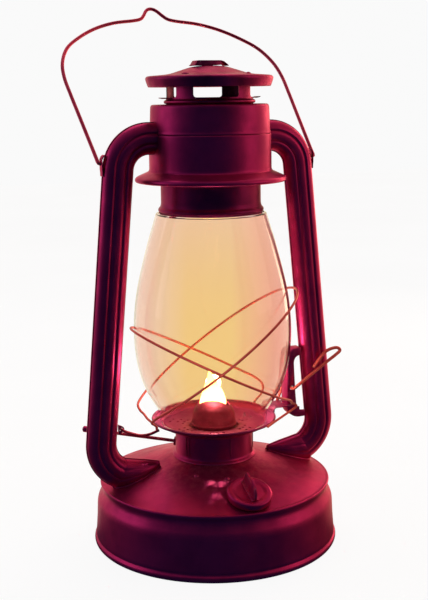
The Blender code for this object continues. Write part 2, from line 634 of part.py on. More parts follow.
def build_wick_raiser():
    axis = (shaft_point(1) - shaft_point(0)).normalized()
    turn = Matrix.Rotation(WICK_TURN, 3, "Z")
    cylinder("wick_shaft", SHAFT_RADIUS, 98.0, shaft_point(41.0), axis, STEEL, None, 12)
    for number, along in ((1, -4.6), (2, 4.6)):
        centre = shaft_point(along)
        spur = turned("spur_wheel_%d" % number, [
            (SHAFT_RADIUS + 0.25, 0.6), (SPUR_RADIUS, 0.6), (SPUR_RADIUS, -0.6),
            (SHAFT_RADIUS + 0.25, -0.6)], BRASS, 16)
        spin = axis.to_track_quat("Z", "Y").to_matrix().to_4x4()
        spur.matrix_world = Matrix.Translation(centre * MM) @ spin
        notch = block("spur_notch_cutter_%d" % number, (2.6, 3.0, 11.0),
                      centre - (turn @ Vector((0, -1, 0))) * (SHAFT_OFFSET - 2.0), None, CUTTERS, turn)
        cut(bpy.data.objects["wick_tube"], notch)
    bore = cylinder("shaft_bore_cutter", 3.3, 16.0, shaft_point(25.0), axis, None, CUTTERS, 12)
    cut(bpy.data.objects["burner_collar"], bore)
    bushing = turned("shaft_bushing", [(1.55, 2.4), (3.0, 2.4), (3.0, -2.4), (1.55, -2.4)], BRASS, 12)
    bushing.matrix_world = (Matrix.Translation(shaft_point(25.2) * MM)
                            @ axis.to_track_quat("Z", "Y").to_matrix().to_4x4())
    knob = turned("wick_knob", [
        (1.45, 9.6), (2.1, 9.2), (2.1, 1.6), (5.2, 1.6), (6.0, 0.9), (6.0, -0.9), (5.2, -1.6),
        (1.45, -1.6)], PAINT, 16)
    knob.matrix_world = (Matrix.Translation(shaft_point(KNOB_ALONG) * MM)
                         @ axis.to_track_quat("Z", "Y").to_matrix().to_4x4())


def main():
    build_fount()
    build_filler()
    build_tubes()
    build_chamber()
    build_hood()
    build_hood_spring()
    build_globe()
    build_carrier()
    build_bracket()
    build_lever()
    build_link()
    build_bail()
    build_burner()
    build_wick_raiser()


main()
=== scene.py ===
"""Barn lantern: the looks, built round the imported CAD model.

Lengths are in millimetres in the lantern's own frame and MM turns them into metres: +Z up, the
origin at the centre of the base, +X through the right-hand air tube, -Y to the front.
"""
import math

import bmesh
import bpy
from mathutils import Matrix, Vector


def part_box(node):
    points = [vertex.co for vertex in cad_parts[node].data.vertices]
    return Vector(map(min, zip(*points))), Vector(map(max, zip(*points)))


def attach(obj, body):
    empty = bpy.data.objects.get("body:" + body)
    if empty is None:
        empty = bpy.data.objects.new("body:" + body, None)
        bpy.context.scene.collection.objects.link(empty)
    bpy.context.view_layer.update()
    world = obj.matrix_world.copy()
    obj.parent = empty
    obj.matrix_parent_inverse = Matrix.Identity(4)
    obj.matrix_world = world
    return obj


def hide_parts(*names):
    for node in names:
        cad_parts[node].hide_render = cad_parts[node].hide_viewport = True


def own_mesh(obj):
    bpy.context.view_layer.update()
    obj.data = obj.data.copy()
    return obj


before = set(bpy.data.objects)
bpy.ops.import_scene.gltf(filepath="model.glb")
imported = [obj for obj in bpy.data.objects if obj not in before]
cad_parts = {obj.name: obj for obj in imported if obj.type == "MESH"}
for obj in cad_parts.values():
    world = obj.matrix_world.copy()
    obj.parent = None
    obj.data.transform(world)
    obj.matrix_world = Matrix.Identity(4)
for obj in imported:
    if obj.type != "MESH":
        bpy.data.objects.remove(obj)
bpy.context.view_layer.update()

MM = 0.001
RING = 128                       # facets round a turned piece
FINE_RING = 160                  # facets round the largest turned pieces
CREASE = math.radians(32)        # edges sharper than this are shaded as creases
SHEET = 0.6                      # thickness of the pressed sheet metal
GLASS_THICKNESS = 1.1

COLLAR_RADIUS = 25.5
COLLAR_BASE_Z = 56.0
COLLAR_TOP_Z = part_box("burner_collar")[1][2] / MM
RIDGE_RADIUS = 74.8
RIDGE_Z = 40.1
CONE_SLOPE = (COLLAR_BASE_Z - RIDGE_Z) / (RIDGE_RADIUS - COLLAR_RADIUS)
BASE_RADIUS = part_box("tank_shell")[1][0] / MM
FILLER_RADIUS = 60.0
FILLER_TILT = math.radians(21)
FILLER_TURN = math.radians(-2.4)
CHAMBER_TOP_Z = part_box("chamber_upper")[1][2] / MM
CROWN_RADIUS = 26.7
CROWN_BORE = 26.5                # inside this radius and below the next height all is sooty
CROWN_TOP_Z = 297
# Each window's middle and half width in degrees, and how far its flap is bent up.
WINDOWS = ((-102.2, 31.2, 0.4), (-10.8, 32.7, 1.0), (88.0, 38.3, 0.3), (177.0, 22.0, 0.6))
WINDOW_Z = 288.8
SPRING_TURNS = 4
PLATE_BASE_Z = 76.0
TAB_Z = 83.0                     # top of the lift tab on the globe's plate
TAB_MIDDLE_Z = TAB_Z - 0.3
BRACKET_WALL_Y = 4.1
LEVER_PIVOT = (54.6, 94.0)       # each pivot is an x and a z
LINK_PIVOT = (-63.4, 79.6)
BAIL_PIVOT = (72.85, 246.6)
BAIL_LEAN = math.radians(-46.9)
BAIL_WIRE = 1.15
WICK_TURN = math.radians(150.0)  # the wick shaft points this way
WICK_TOP_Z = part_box("wick")[1][2] / MM
SHAFT_TILT = math.radians(6)
SHAFT_ASIDE = 5.6                # from the wick's middle to the shaft
SHAFT_Z = 58.0
KNOB_AT = 80.0                   # along the shaft
TOOTH_STEPS = 24
KNOB_RIDGES = 24
CAMERA_TURN = math.radians(-22.5)
CAMERA_TILT = math.radians(90 - 10.548)
CAMERA_ROLL = math.radians(-0.743)
CAMERA_PLACE = (-0.2628, -0.6375, 0.2857)
CAMERA_LENS = 65.72


# ---------------------------------------- shapes

def cone_z(radius):
    """Height of the tank's sloping top at a radius."""
    return COLLAR_BASE_Z - CONE_SLOPE * (radius - COLLAR_RADIUS)


def rounded(line, radius, steps=4):
    """An open line with each inner corner rounded off."""
    corners = [Vector(point) for point in line]
    result = [corners[0]]
    for before, corner, after in zip(corners, corners[1:], corners[2:]):
        reach_in = min(radius, 0.45 * (before - corner).length)
        reach_out = min(radius, 0.45 * (after - corner).length)
        start = corner + (before - corner).normalized() * reach_in
        end = corner + (after - corner).normalized() * reach_out
        for i in range(steps + 1):
            t = i / steps
            result.append(start * (1 - t) ** 2 + corner * 2 * t * (1 - t) + end * t ** 2)
    return result + [corners[-1]]


def smooth(points, per_span=8):
    """Points of a Catmull-Rom curve through a few given ones."""
    corners = [Vector(point) for point in points]
    ends = [2 * corners[0] - corners[1]] + corners + [2 * corners[-1] - corners[-2]]
    path = []
    for i in range(1, len(ends) - 2):
        before, start, end, after = ends[i - 1:i + 3]
        for step in range(per_span):
            t = step / per_span
            path.append(0.5 * (2 * start + (end - before) * t
                               + (2 * before - 5 * start + 4 * end - after) * t ** 2
                               + (3 * start - before - 3 * end + after) * t ** 3))
    return path + [corners[-1]]


def sheet_loop(line, thickness):
    """The closed outline of a sheet whose outer side is a line run from top to bottom."""
    inner = []
    for i, point in enumerate(line):
        ahead = line[min(i + 1, len(line) - 1)] - point
        behind = point - line[max(i - 1, 0)]
        along = (ahead.normalized() + behind.normalized()).normalized()
        radius = max(point.x + along.y * thickness, 0.0)
        inner.append(Vector((0.0 if point.x < 0.01 else radius, point.y - along.x * thickness)))
    return list(line) + inner[::-1]


def add_object(name, data):
    """A new object in the scene."""
    obj = bpy.data.objects.new(name, data)
    bpy.context.scene.collection.objects.link(obj)
    return obj


def new_object(name, verts, faces):
    """A cleaned mesh object from points in millimetres."""
    mesh = bpy.data.meshes.new(name)
    mesh.from_pydata([[value * MM for value in vert] for vert in verts], [], faces)
    obj = add_object(name, mesh)
    clean(obj)
    return obj


def clean(obj):
    """Welds doubled points, turns the faces outward and shades smooth between sharp edges."""
    shape = bmesh.new()
    shape.from_mesh(obj.data)
    bmesh.ops.remove_doubles(shape, verts=shape.verts, dist=0.000002)
    bmesh.ops.dissolve_degenerate(shape, edges=shape.edges, dist=0.000001)
    bmesh.ops.recalc_face_normals(shape, faces=shape.faces)
    shape.to_mesh(obj.data)
    shape.free()
    obj.data.shade_smooth()
    obj.data.set_sharp_from_angle(angle=CREASE)


def turned(name, loop, steps=RING, turn=None):
    """A closed (radius, z) outline turned about Z; turn places it."""
    count = len(loop)
    verts = [on_circle(radius, angle, z) for angle in full_turn(steps) for radius, z in loop]
    faces = []
    for i in range(steps):
        here, ahead = i * count, (i + 1) % steps * count
        for j in range(count):
            k = (j + 1) % count
            faces.append((here + j, ahead + j, ahead + k, here + k))
    obj = new_object(name, verts, faces)
    if turn:
        obj.data.transform(turn)
    return obj


def skinned(name, rings):
    """A solid through a row of equal rings of points, closed at both ends."""
    size = len(rings[0])
    verts = [point for ring in rings for point in ring]
    faces = []
    for i in range(len(rings) - 1):
        for j in range(size):
            k = (j + 1) % size
            faces.append((i * size + j, i * size + k, (i + 1) * size + k, (i + 1) * size + j))
    faces.append(tuple(range(size))[::-1])
    faces.append(tuple(range(len(verts) - size, len(verts))))
    return new_object(name, verts, faces)


def turned_sheet(name, line, radius, thickness=SHEET):
    """Sheet metal turned about Z; line is its outer side and radius rounds its corners."""
    return turned(name, sheet_loop(rounded(line, radius), thickness))


def wire(name, points, radius, sides=3):
    """A round wire along a list of points, as a mesh."""
    curve = bpy.data.curves.new(name, "CURVE")
    curve.dimensions = "3D"
    curve.bevel_depth = radius * MM
    curve.bevel_resolution = sides
    curve.use_fill_caps = True
    spline = curve.splines.new("POLY")
    spline.points.add(len(points) - 1)
    for slot, point in zip(spline.points, points):
        slot.co = (*[value * MM for value in point], 1.0)
    return as_mesh(curve, name)


def plate(name, outline, thickness, bevel, turn=Matrix()):
    """A flat piece from an outline in the XZ plane, thick along Y, with its edges eased."""
    curve = bpy.data.curves.new(name, "CURVE")
    curve.dimensions = "2D"
    curve.fill_mode = "BOTH"
    curve.extrude = thickness * MM / 2
    spline = curve.splines.new("POLY")
    spline.points.add(len(outline) - 1)
    for slot, (x, z) in zip(spline.points, outline):
        slot.co = (x * MM, z * MM, 0, 1.0)
    spline.use_cyclic_u = True
    obj = as_mesh(curve, name)
    obj.data.transform(turn @ rotation("X", math.pi / 2))
    ease(obj, bevel)
    return obj


def evaluated_mesh(obj):
    """A new mesh of an object's curve or of its mesh with its modifiers."""
    bpy.context.view_layer.update()
    return bpy.data.meshes.new_from_object(obj.evaluated_get(bpy.context.evaluated_depsgraph_get()))


def as_mesh(curve, name):
    """A mesh object with the shape of a curve."""
    source = add_object(name + "_curve", curve)
    obj = add_object(name, evaluated_mesh(source))
    bpy.data.objects.remove(source, do_unlink=True)
    clean(obj)
    return obj


def settle(obj):
    """Fixes an object's modifiers into its mesh."""
    mesh = evaluated_mesh(obj)
    obj.modifiers.clear()
    obj.data = mesh
    clean(obj)


def ease(obj, width):
    """Takes the sharp edges off an object."""
    bevel = obj.modifiers.new("ease", "BEVEL")
    bevel.width = width * MM
    bevel.segments = 2
    bevel.limit_method = "ANGLE"
    bevel.angle_limit = math.radians(40)
    settle(obj)


def cut_out(obj, other):
    """Cuts other out of obj and removes it."""
    boolean = obj.modifiers.new("shape", "BOOLEAN")
    boolean.operation = "DIFFERENCE"
    boolean.object = other
    settle(obj)
    bpy.data.objects.remove(other, do_unlink=True)


def box(name, size, centre, turn=Matrix(), bevel=0.0):
    """A box, turned about its own centre before it is placed."""
    half = [value / 2 for value in size]
    corners = [(x * half[0], y * half[1], z * half[2]) for x in (-1, 1) for y in (-1, 1) for z in (-1, 1)]
    faces = [(0, 1, 3, 2), (4, 6, 7, 5), (0, 4, 5, 1), (2, 3, 7, 6), (0, 2, 6, 4), (1, 5, 7, 3)]
    obj = new_object(name, corners, faces)
    if bevel:
        ease(obj, bevel)
    obj.data.transform(placed(centre) @ turn)
    return obj


def turned_towards(axis):
    """A matrix that turns +Z to an axis."""
    return Vector(axis).normalized().to_track_quat("Z", "Y").to_matrix().to_4x4()


def rotation(axis, angle):
    """A 4x4 rotation about "X", "Y" or "Z"."""
    return Matrix.Rotation(angle, 4, axis)


def placed(centre):
    """A matrix that moves a piece to a point in millimetres."""
    return Matrix.Translation(Vector(centre) * MM)


def full_turn(count):
    """Evenly spaced angles round a circle."""
    return [2 * math.pi * i / count for i in range(count)]


def on_circle(radius, angle, z):
    """A point at a radius and an angle about Z."""
    return (radius * math.cos(angle), radius * math.sin(angle), z)


def rod(name, radius, length, centre, axis, sides=24):
    """A straight round rod centred on a point."""
    along = turned_towards(axis)
    loop = [(0, length / 2), (radius, length / 2), (radius, -length / 2), (0, -length / 2)]
    return turned(name, loop, sides, placed(centre) @ along)


def arc(centre, radius, start, end, count):
    """Points of an arc, angles in degrees."""
    angles = [math.radians(start + (end - start) * i / (count - 1)) for i in range(count)]
    return [(centre[0] + radius * math.cos(a), centre[1] + radius * math.sin(a)) for a in angles]


def join(name, objects):
    """One object from several."""
    shape = bmesh.new()
    for obj in objects:
        shape.from_mesh(obj.data)
        bpy.data.objects.remove(obj, do_unlink=True)
    mesh = bpy.data.meshes.new(name)
    shape.to_mesh(mesh)
    shape.free()
    mesh.shade_smooth()
    mesh.set_sharp_from_angle(angle=CREASE)
    return add_object(name, mesh)


# ---------------------------------------- materials

class Nodes:
    """Short calls for building a node tree."""

    def __init__(self, tree):
        self.tree = tree

    def add(self, kind, **settings):
        """A new node with some of its properties set."""
        node = self.tree.nodes.new(kind)
        for key, value in settings.items():
            setattr(node, key, value)
        return node

    def feed(self, socket, value):
        """Links another socket to this one, or sets this one to a constant."""
        if isinstance(value, bpy.types.NodeSocket):
            self.tree.links.new(value, socket)
        else:
            socket.default_value = value

    def ramp(self, value, low, high, start=0.0, end=1.0):
        """Start below low, end above high, and in between a straight line."""
        node = self.add("ShaderNodeMapRange")
        keys = ("Value", "From Min", "From Max", "To Min", "To Max")
        for key, number in zip(keys, (value, low, high, start, end)):
            self.feed(node.inputs[key], number)
        return node.outputs["Result"]

    def math(self, operation, one, two):
        node = self.add("ShaderNodeMath", operation=operation)
        self.feed(node.inputs[0], one)
        self.feed(node.inputs[1], two)
        return node.outputs[0]

    def vector(self, operation, value, constant=(0, 0, 0)):
        """A vector operation on a socket and a constant, which some operations ignore."""
        node = self.add("ShaderNodeVectorMath", operation=operation)
        self.feed(node.inputs[0], value)
        self.feed(node.inputs[1], constant)
        return node.outputs["Value" if operation in ("DOT_PRODUCT", "DISTANCE", "LENGTH") else "Vector"]

    def mix(self, factor, one, two):
        """A colour between two; each is a colour or a socket."""
        node = self.add("ShaderNodeMix", data_type="RGBA")
        self.feed(node.inputs["Factor"], factor)
        colours = [socket for socket in node.inputs if socket.type == "RGBA"]
        for socket, value in zip(colours, (one, two)):
            self.feed(socket, (*value, 1.0) if isinstance(value, tuple) else value)
        return [socket for socket in node.outputs if socket.type == "RGBA"][0]


class MaterialNodes(Nodes):
    """The nodes of a new material, with places in millimetres."""

    def __init__(self, name):
        self.material = bpy.data.materials.new(name)
        self.material.use_nodes = True
        super().__init__(self.material.node_tree)
        self.shader = self.tree.nodes["Principled BSDF"]
        coordinates = self.add("ShaderNodeTexCoord").outputs["Object"]
        self.place = self.vector("MULTIPLY", coordinates, (1 / MM, 1 / MM, 1 / MM))

    def put(self, name, value):
        """Gives one of the shader's sockets a node's output or a constant."""
        self.feed(self.shader.inputs[name], value)

    def noise(self, size, detail=3.0, roughness=0.55, place=None):
        """Noise whose features are about size millimetres across."""
        node = self.add("ShaderNodeTexNoise")
        keys = ("Vector", "Scale", "Detail", "Roughness")
        for key, value in zip(keys, (place or self.place, 1.0 / size, detail, roughness)):
            self.feed(node.inputs[key], value)
        return node.outputs["Fac"]

    def height(self):
        return self.vector("DOT_PRODUCT", self.place, (0, 0, 1))

    def bump(self, value, distance, strength=1.0, below=None):
        node = self.add("ShaderNodeBump")
        for key, number in zip(("Strength", "Distance", "Height"), (strength, distance * MM, value)):
            self.feed(node.inputs[key], number)
        if below:
            self.feed(node.inputs["Normal"], below)
        return node.outputs["Normal"]


def enamel(name, base, shade, worn, soot_from=None, metallic=0.78):
    """Burgundy enamel over pressed steel: mottled, with rubbed edges, fine scratches and soot.

    The soot thickens over the 30 mm above the height soot_from.
    """
    n = MaterialNodes(name)
    mottle = n.ramp(n.noise(22.0, 4.0), 0.38, 0.64)
    colour = n.mix(mottle, base, shade)
    speckle = n.ramp(n.noise(0.8, 2.0), 0.66, 0.74, 0.0, 0.35)
    colour = n.mix(speckle, colour, tuple(0.55 * value for value in shade))
    geometry = n.add("ShaderNodeNewGeometry")
    edge = n.ramp(geometry.outputs["Pointiness"], 0.53, 0.60)
    rub = n.math("MULTIPLY", edge, n.ramp(n.noise(5.0, 5.0, 0.7), 0.42, 0.62))
    colour = n.mix(n.math("MULTIPLY", rub, 0.55), colour, worn)
    if soot_from:
        soot = n.math("MULTIPLY", n.ramp(n.height(), soot_from, soot_from + 30, 0.0, 0.6),
                      n.ramp(n.noise(14.0, 4.0), 0.35, 0.7))
        colour = n.mix(soot, colour, (0.035, 0.006, 0.022))
        from_axis = n.vector("LENGTH", n.vector("MULTIPLY", n.place, (1, 1, 0)))
        inside = n.math("MULTIPLY", n.ramp(from_axis, CROWN_BORE, CROWN_BORE - 0.15),
                        n.ramp(n.height(), CROWN_TOP_Z, CROWN_TOP_Z - 1))
        colour = n.mix(inside, colour, (0.05, 0.006, 0.02))
    n.put("Base Color", colour)
    scratch = n.noise(1.1, 3.0, 0.6, n.vector("MULTIPLY", n.place, (1, 1, 0.08)))
    gloss = n.math("ADD", n.ramp(n.noise(9.0, 5.0, 0.65), 0.3, 0.75, 0.31, 0.48),
                   n.ramp(scratch, 0.6, 0.75, 0.0, 0.12))
    n.put("Roughness", n.math("ADD", gloss, n.math("MULTIPLY", rub, 0.12)))
    dents = n.bump(n.noise(19.0, 1.0), 0.5, 0.55)
    peel = n.bump(n.noise(1.5, 2.0), 0.035, 0.5, dents)
    n.put("Normal", n.bump(scratch, 0.02, 0.35, peel))
    n.put("Metallic", metallic)
    n.put("Specular IOR Level", 0.35)
    n.put("Specular Tint", (0.95, 0.50, 0.58, 1.0))
    return n.material


def metal(name, bright, dull, rough, grain=6.0):
    """Bare metal with a tarnish that comes and goes."""
    n = MaterialNodes(name)
    tarnish = n.ramp(n.noise(grain, 5.0, 0.65), 0.35, 0.68)
    n.put("Base Color", n.mix(tarnish, bright, dull))
    n.put("Roughness", n.ramp(n.noise(grain / 3, 4.0), 0.3, 0.7, rough, rough + 0.22))
    n.put("Normal", n.bump(n.noise(1.2, 3.0), 0.03, 0.5))
    n.put("Metallic", 0.9)
    return n.material


def globe_glass():
    """Thin clear glass, a little misted, with painted light in its tint: a painted glow of the flame, paler
    to the camera's left, pinker to its right and at its grazing edges.
    """
    n = MaterialNodes("globe_glass")
    # Painted glow of the flame: the glass is warmer near it.
    far = n.ramp(n.vector("DISTANCE", n.place, (0, 0, 128)), 45, 100)
    painted_light_tint = n.mix(far, (0.955, 0.78, 0.46), (0.95, 0.76, 0.62))
    # Painted light: paler towards the camera's left and pinker towards its right.
    side = n.vector("DOT_PRODUCT", n.place, (0.924, -0.383, 0.0))
    painted_light_tint = n.mix(n.ramp(side, -16, -42), painted_light_tint, (0.948, 0.785, 0.675))
    painted_light_tint = n.mix(n.ramp(side, 12, 44), painted_light_tint, (0.933, 0.61, 0.53))
    # Painted sheen: pinker where the glass is seen at a grazing angle.
    rim = n.add("ShaderNodeLayerWeight")
    n.feed(rim.inputs["Blend"], 0.28)
    tint = n.mix(n.ramp(rim.outputs["Facing"], 0.2, 0.95), painted_light_tint, (0.93, 0.60, 0.62))
    n.put("Base Color", tint)
    mist = n.noise(26.0, 4.0, 0.6)
    n.put("Roughness", n.ramp(mist, 0.3, 0.75, 0.0, 0.09))
    n.put("Normal", n.bump(n.noise(34.0, 1.0), 0.35, 0.4))
    n.put("Transmission Weight", 1.0)
    n.put("IOR", 1.35)
    return n.material


def cotton():
    """Woven wick, charred at its top."""
    n = MaterialNodes("wick_weave")
    weave = n.add("ShaderNodeTexWave", wave_type="BANDS", bands_direction="Z")
    for key, value in (("Scale", 0.55), ("Distortion", 1.5), ("Vector", n.place)):
        n.feed(weave.inputs[key], value)
    colour = n.mix(weave.outputs["Fac"], (0.62, 0.52, 0.36), (0.42, 0.33, 0.2))
    char = n.ramp(n.height(), WICK_TOP_Z - 4, WICK_TOP_Z - 1)
    n.put("Base Color", n.mix(char, colour, (0.02, 0.015, 0.012)))
    n.put("Normal", n.bump(weave.outputs["Fac"], 0.2, 0.8))
    n.put("Roughness", n.ramp(n.noise(2.0), 0.3, 0.7, 0.8, 0.98))
    return n.material


def cork():
    """Pressed cork of the filler's seal."""
    n = MaterialNodes("seal_cork")
    grain = n.noise(1.4, 4.0, 0.7)
    colour = n.mix(n.ramp(grain, 0.4, 0.6), (0.35, 0.2, 0.1), (0.16, 0.08, 0.04))
    n.put("Base Color", colour)
    n.put("Normal", n.bump(grain, 0.2, 0.7))
    n.put("Roughness", n.ramp(grain, 0.3, 0.7, 0.75, 0.95))
    return n.material


def flame_light():
    """A glow that is paler at the flame's foot than at its tip."""
    n = MaterialNodes("flame_glow")
    rise = n.ramp(n.height(), WICK_TOP_Z - 1, WICK_TOP_Z + 21)
    colour = n.mix(rise, (1.0, 0.80, 0.45), (1.0, 0.62, 0.18))
    n.put("Base Color", colour)
    n.put("Emission Color", colour)
    n.put("Emission Strength", n.ramp(n.noise(6.0), 0.3, 0.7, 5.0, 7.0))
    n.put("Roughness", 0.9)
    return n.material


PAINT = enamel("burgundy_enamel", (0.49, 0.018, 0.110), (0.36, 0.011, 0.088), (0.80, 0.16, 0.24))
HOOD_PAINT = enamel("hood_enamel", (0.47, 0.016, 0.112), (0.33, 0.010, 0.088), (0.80, 0.15, 0.26), 262)
# A darker copy of the hood's enamel: painted shade, the shadow that the chamber's flange casts on the
# chimney.
SHADED_CHIMNEY_PAINT = enamel("chimney_enamel_painted_shade", (0.27, 0.009, 0.075), (0.17, 0.006, 0.055), (0.60, 0.11, 0.20))
WIRE_PAINT = enamel("wire_enamel", (0.46, 0.030, 0.070), (0.32, 0.018, 0.055), (0.75, 0.16, 0.16))
DULL_PAINT = enamel("dull_enamel", (0.24, 0.012, 0.070), (0.16, 0.008, 0.050), (0.50, 0.10, 0.18))
PLATE_PAINT = enamel("plate_enamel", (0.36, 0.030, 0.115), (0.24, 0.020, 0.085), (0.70, 0.20, 0.30),
                     metallic=0.6)
# A brighter, less metallic copy of the wire enamel: painted light, the flame's glow on the guard wires and
# the lever.
FLAME_LIT_GUARD_PAINT = enamel("guard_enamel_painted_light", (0.60, 0.085, 0.065), (0.46, 0.055, 0.050), (0.80, 0.22, 0.16),
                     metallic=0.4)
BRASS = metal("burner_brass", (0.36, 0.035, 0.100), (0.20, 0.018, 0.055), 0.45)
STEEL = metal("spring_steel", (0.34, 0.32, 0.33), (0.16, 0.13, 0.13), 0.28, 4.0)
GLASS = globe_glass()
COTTON = cotton()
CORK = cork()
FLAME = flame_light()


def fit(obj, body, material, *nodes, slot="burgundy_paint"):
    """Gives a finished piece its material and its body, and hides the CAD nodes it stands for."""
    obj.data.materials.clear()
    obj.data.materials.append(material)
    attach(obj, body)
    if nodes:
        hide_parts(*nodes)
    return obj


# ---------------------------------------- tank

def filler_frame():
    """Matrix of the filler's own frame: +Z along its tilted axis, origin on the cone."""
    tilted = placed((0, -FILLER_RADIUS, cone_z(FILLER_RADIUS))) @ rotation("X", FILLER_TILT)
    return rotation("Z", FILLER_TURN) @ tilted


def build_tank():
    """The tank with its rivets, and the neck that the burner sits in."""
    line = rounded([(20.5, cone_z(20.5)), (72.4, cone_z(72.4))], 1.0)
    line += rounded([(73.4, cone_z(73.4)), (74.6, 40.6), (75.0, 39.4), (74.3, 38.0), (73.6, 36.4),
                     (73.9, 34.4), (75.2, 31.6), (76.5, 29.2), (77.1, 26.4), (77.5, 17.0), (78.1, 9.0),
                     (78.4, 6.0), (78.1, 4.9), (78.5, 4.1), (BASE_RADIUS - 0.3, 3.3), (BASE_RADIUS, 2.1),
                     (BASE_RADIUS - 0.3, 0.8), (78.5, 0.0)], 1.6, 5)
    fit(turned("tank_shell_skin", sheet_loop(line, SHEET), FINE_RING), "frame", PAINT, "tank_shell")
    bottom = [(0, 0.7), (61.6, 0.7), (63.2, 1.9), (66.8, 1.9), (68.4, 0.7), (75.9, 0.7), (75.9, 7.0),
              (76.5, 7.0), (76.5, 0.4), (76.0, 0.0), (68.4, 0.0), (67.0, 1.2), (63.0, 1.2), (61.6, 0.0),
              (0, 0.0)]
    fit(turned("tank_bottom_skin", bottom), "frame", DULL_PAINT, "tank_bottom")

    head = [(0, 0.85), (0.6, 0.75), (1.1, 0.4), (1.5, 0.0), (1.5, -0.3), (0, -0.3)]
    for number, (radius, degrees) in enumerate(((37.4, -130), (39.8, -101)), 1):
        angle = math.radians(degrees)
        slope = rotation("Z", angle) @ rotation("Y", math.atan(CONE_SLOPE))
        spot = placed(on_circle(radius, angle, cone_z(radius)))
        fit(turned("tank_rivet_%d" % number, head, 24, spot @ slope), "frame", PAINT)

    collar = rounded([(24.2, COLLAR_TOP_Z - 0.2), (25.0, COLLAR_TOP_Z), (25.5, COLLAR_TOP_Z - 0.8),
                      (25.1, COLLAR_TOP_Z - 2.2), (25.25, 58.6), (COLLAR_RADIUS, COLLAR_BASE_Z + 1.5),
                      (26.8, cone_z(26.8) + 0.9), (27.2, cone_z(27.2) + 0.35)], 0.6)
    skin = turned("burner_collar_skin", sheet_loop(collar, SHEET))
    cut_out(skin, rod("collar_bore", 3.3, 16, shaft_point(25.0), shaft_axis()))
    fit(skin, "frame", PAINT, "burner_collar")
    for number, degrees in enumerate((-157, -152, -88, -28, -23, 60, 120), 1):
        seam = [on_circle(25.35, math.radians(degrees), z) for z in (59.6, 66.0, 71.6)]
        fit(wire("collar_flute_%d" % number, seam, 0.22), "frame", PAINT)


def build_filler():
    """The filler's neck, seal and cap, with the finger grip across the cap."""
    turn = filler_frame()
    neck = [(10.9, 2.6), (11.3, 2.8), (11.7, 2.7), (11.9, 2.3), (11.9, -6.0), (11.2, -6.0), (11.2, 1.8)]
    fit(turned("filler_neck_skin", neck, 64, turn), "frame", PAINT, "filler_neck")
    gasket = [(8.0, 4.2), (12.0, 4.2), (12.2, 4.0), (12.2, 3.2), (12.0, 3.0), (8.0, 3.0)]
    ring = turned("filler_gasket_ring", gasket, 64, turn)
    fit(ring, "filler_seal", CORK, "filler_gasket", slot="seal_cork")
    cap = rounded([(0, 5.5), (8.6, 5.4), (10.6, 5.9), (12.6, 6.0), (13.5, 5.6), (13.9, 4.9), (13.9, 2.3),
                   (13.7, 1.7)], 0.5)
    lid = turned("filler_cap_shell", sheet_loop(cap, 0.7), 96, turn)
    fit(lid, "filler_lid", PAINT, "filler_cap")
    fin = ([(-9.6, 5.4)] + arc((-1.0, 6.6), 8.8, 168, 60, 12) + arc((3.0, 10.0), 5.8, 52, -8, 8)
           + [(9.9, 5.4)])
    quarter = rotation("Z", math.pi / 2)
    blade = plate("filler_wing_blade", fin, 1.5, 0.6, turn @ quarter)
    foot = box("filler_wing_foot", (19.0, 4.6, 0.9), (0, 0, 0), bevel=0.35)
    foot.data.transform(turn @ quarter @ placed((0, 0, 5.75)))
    fit(join("filler_wing", [blade, foot]), "filler_lid", PAINT, "filler_cap_wing")


# ---------------------------------------- air tubes

TUBE_WIDTH = 9.45
TUBE_DEPTH = 7.5
UPPER_BEND = (40.8, 240.9)
UPPER_BEND_RADIUS = 19.9
LOWER_BEND = (55.4, 70.3)
LOWER_BEND_RADIUS = 21.3


def tube_stations():
    """Stations down a tube: (inner x, inner z, outer x, outer z, half depth, sweep, groove)."""
    stations = []

    def add(centre, degrees, radius, groove):
        angle = math.radians(degrees)
        near, far = radius - TUBE_WIDTH, radius + TUBE_WIDTH
        stations.append((centre[0] + near * math.cos(angle), centre[1] + near * math.sin(angle),
                         centre[0] + far * math.cos(angle), centre[1] + far * math.sin(angle),
                         TUBE_DEPTH, 180.0, groove))

    top = UPPER_BEND[1] + UPPER_BEND_RADIUS
    stations.append((34.8, top - TUBE_WIDTH, 34.8, top + TUBE_WIDTH, TUBE_DEPTH, 180.0, 1.0))
    for i in range(22):
        add(UPPER_BEND, 90 - (90 - 5.4) * i / 21, UPPER_BEND_RADIUS, 1.0)
    for i in range(17):
        add(LOWER_BEND, 5.4 - 66.4 * i / 16, LOWER_BEND_RADIUS, 1.0 - 0.5 * i / 16)
    straight = stations[22:24]
    between = [tuple(a + (b - a) * i / 12 for a, b in zip(*straight)) for i in range(1, 12)]
    stations[23:23] = between
    foot = [(*stations[-1][:3], TUBE_DEPTH, 180.0, 0.5), (59.5, 59.7, 67.2, 7.7, 150.0, 0.35),
            (55.0, 58.7, 62.5, 7.9, 120.0, 0.2), (50.0, 57.7, 55.0, 7.6, 103.0, 0.1),
            (45.0, 56.6, 47.5, 5.9, 94.0, 0.0), (40.5, 55.4, 41.5, 3.4, 90.0, 0.0),
            (38.4, 54.9, 38.4, 1.6, 90.0, 0.0)]
    for inner_x, inner_z, outer_x, depth, sweep, groove in smooth(foot, 4)[1:]:
        side = depth * math.sin(math.radians(sweep))
        outer_z = cone_z(math.hypot(outer_x, side)) + 0.4
        stations.append((inner_x, inner_z, outer_x, outer_z, depth, sweep, groove))
    return stations


def groove_at(share, strength):
    """How far two lengthwise grooves pull the wall in, at a share across the tube's face."""
    depth = 0.0
    for middle in (0.315, 0.655):
        depth += 0.95 * math.exp(-((share - middle) / 0.042) ** 2)
    return strength * depth


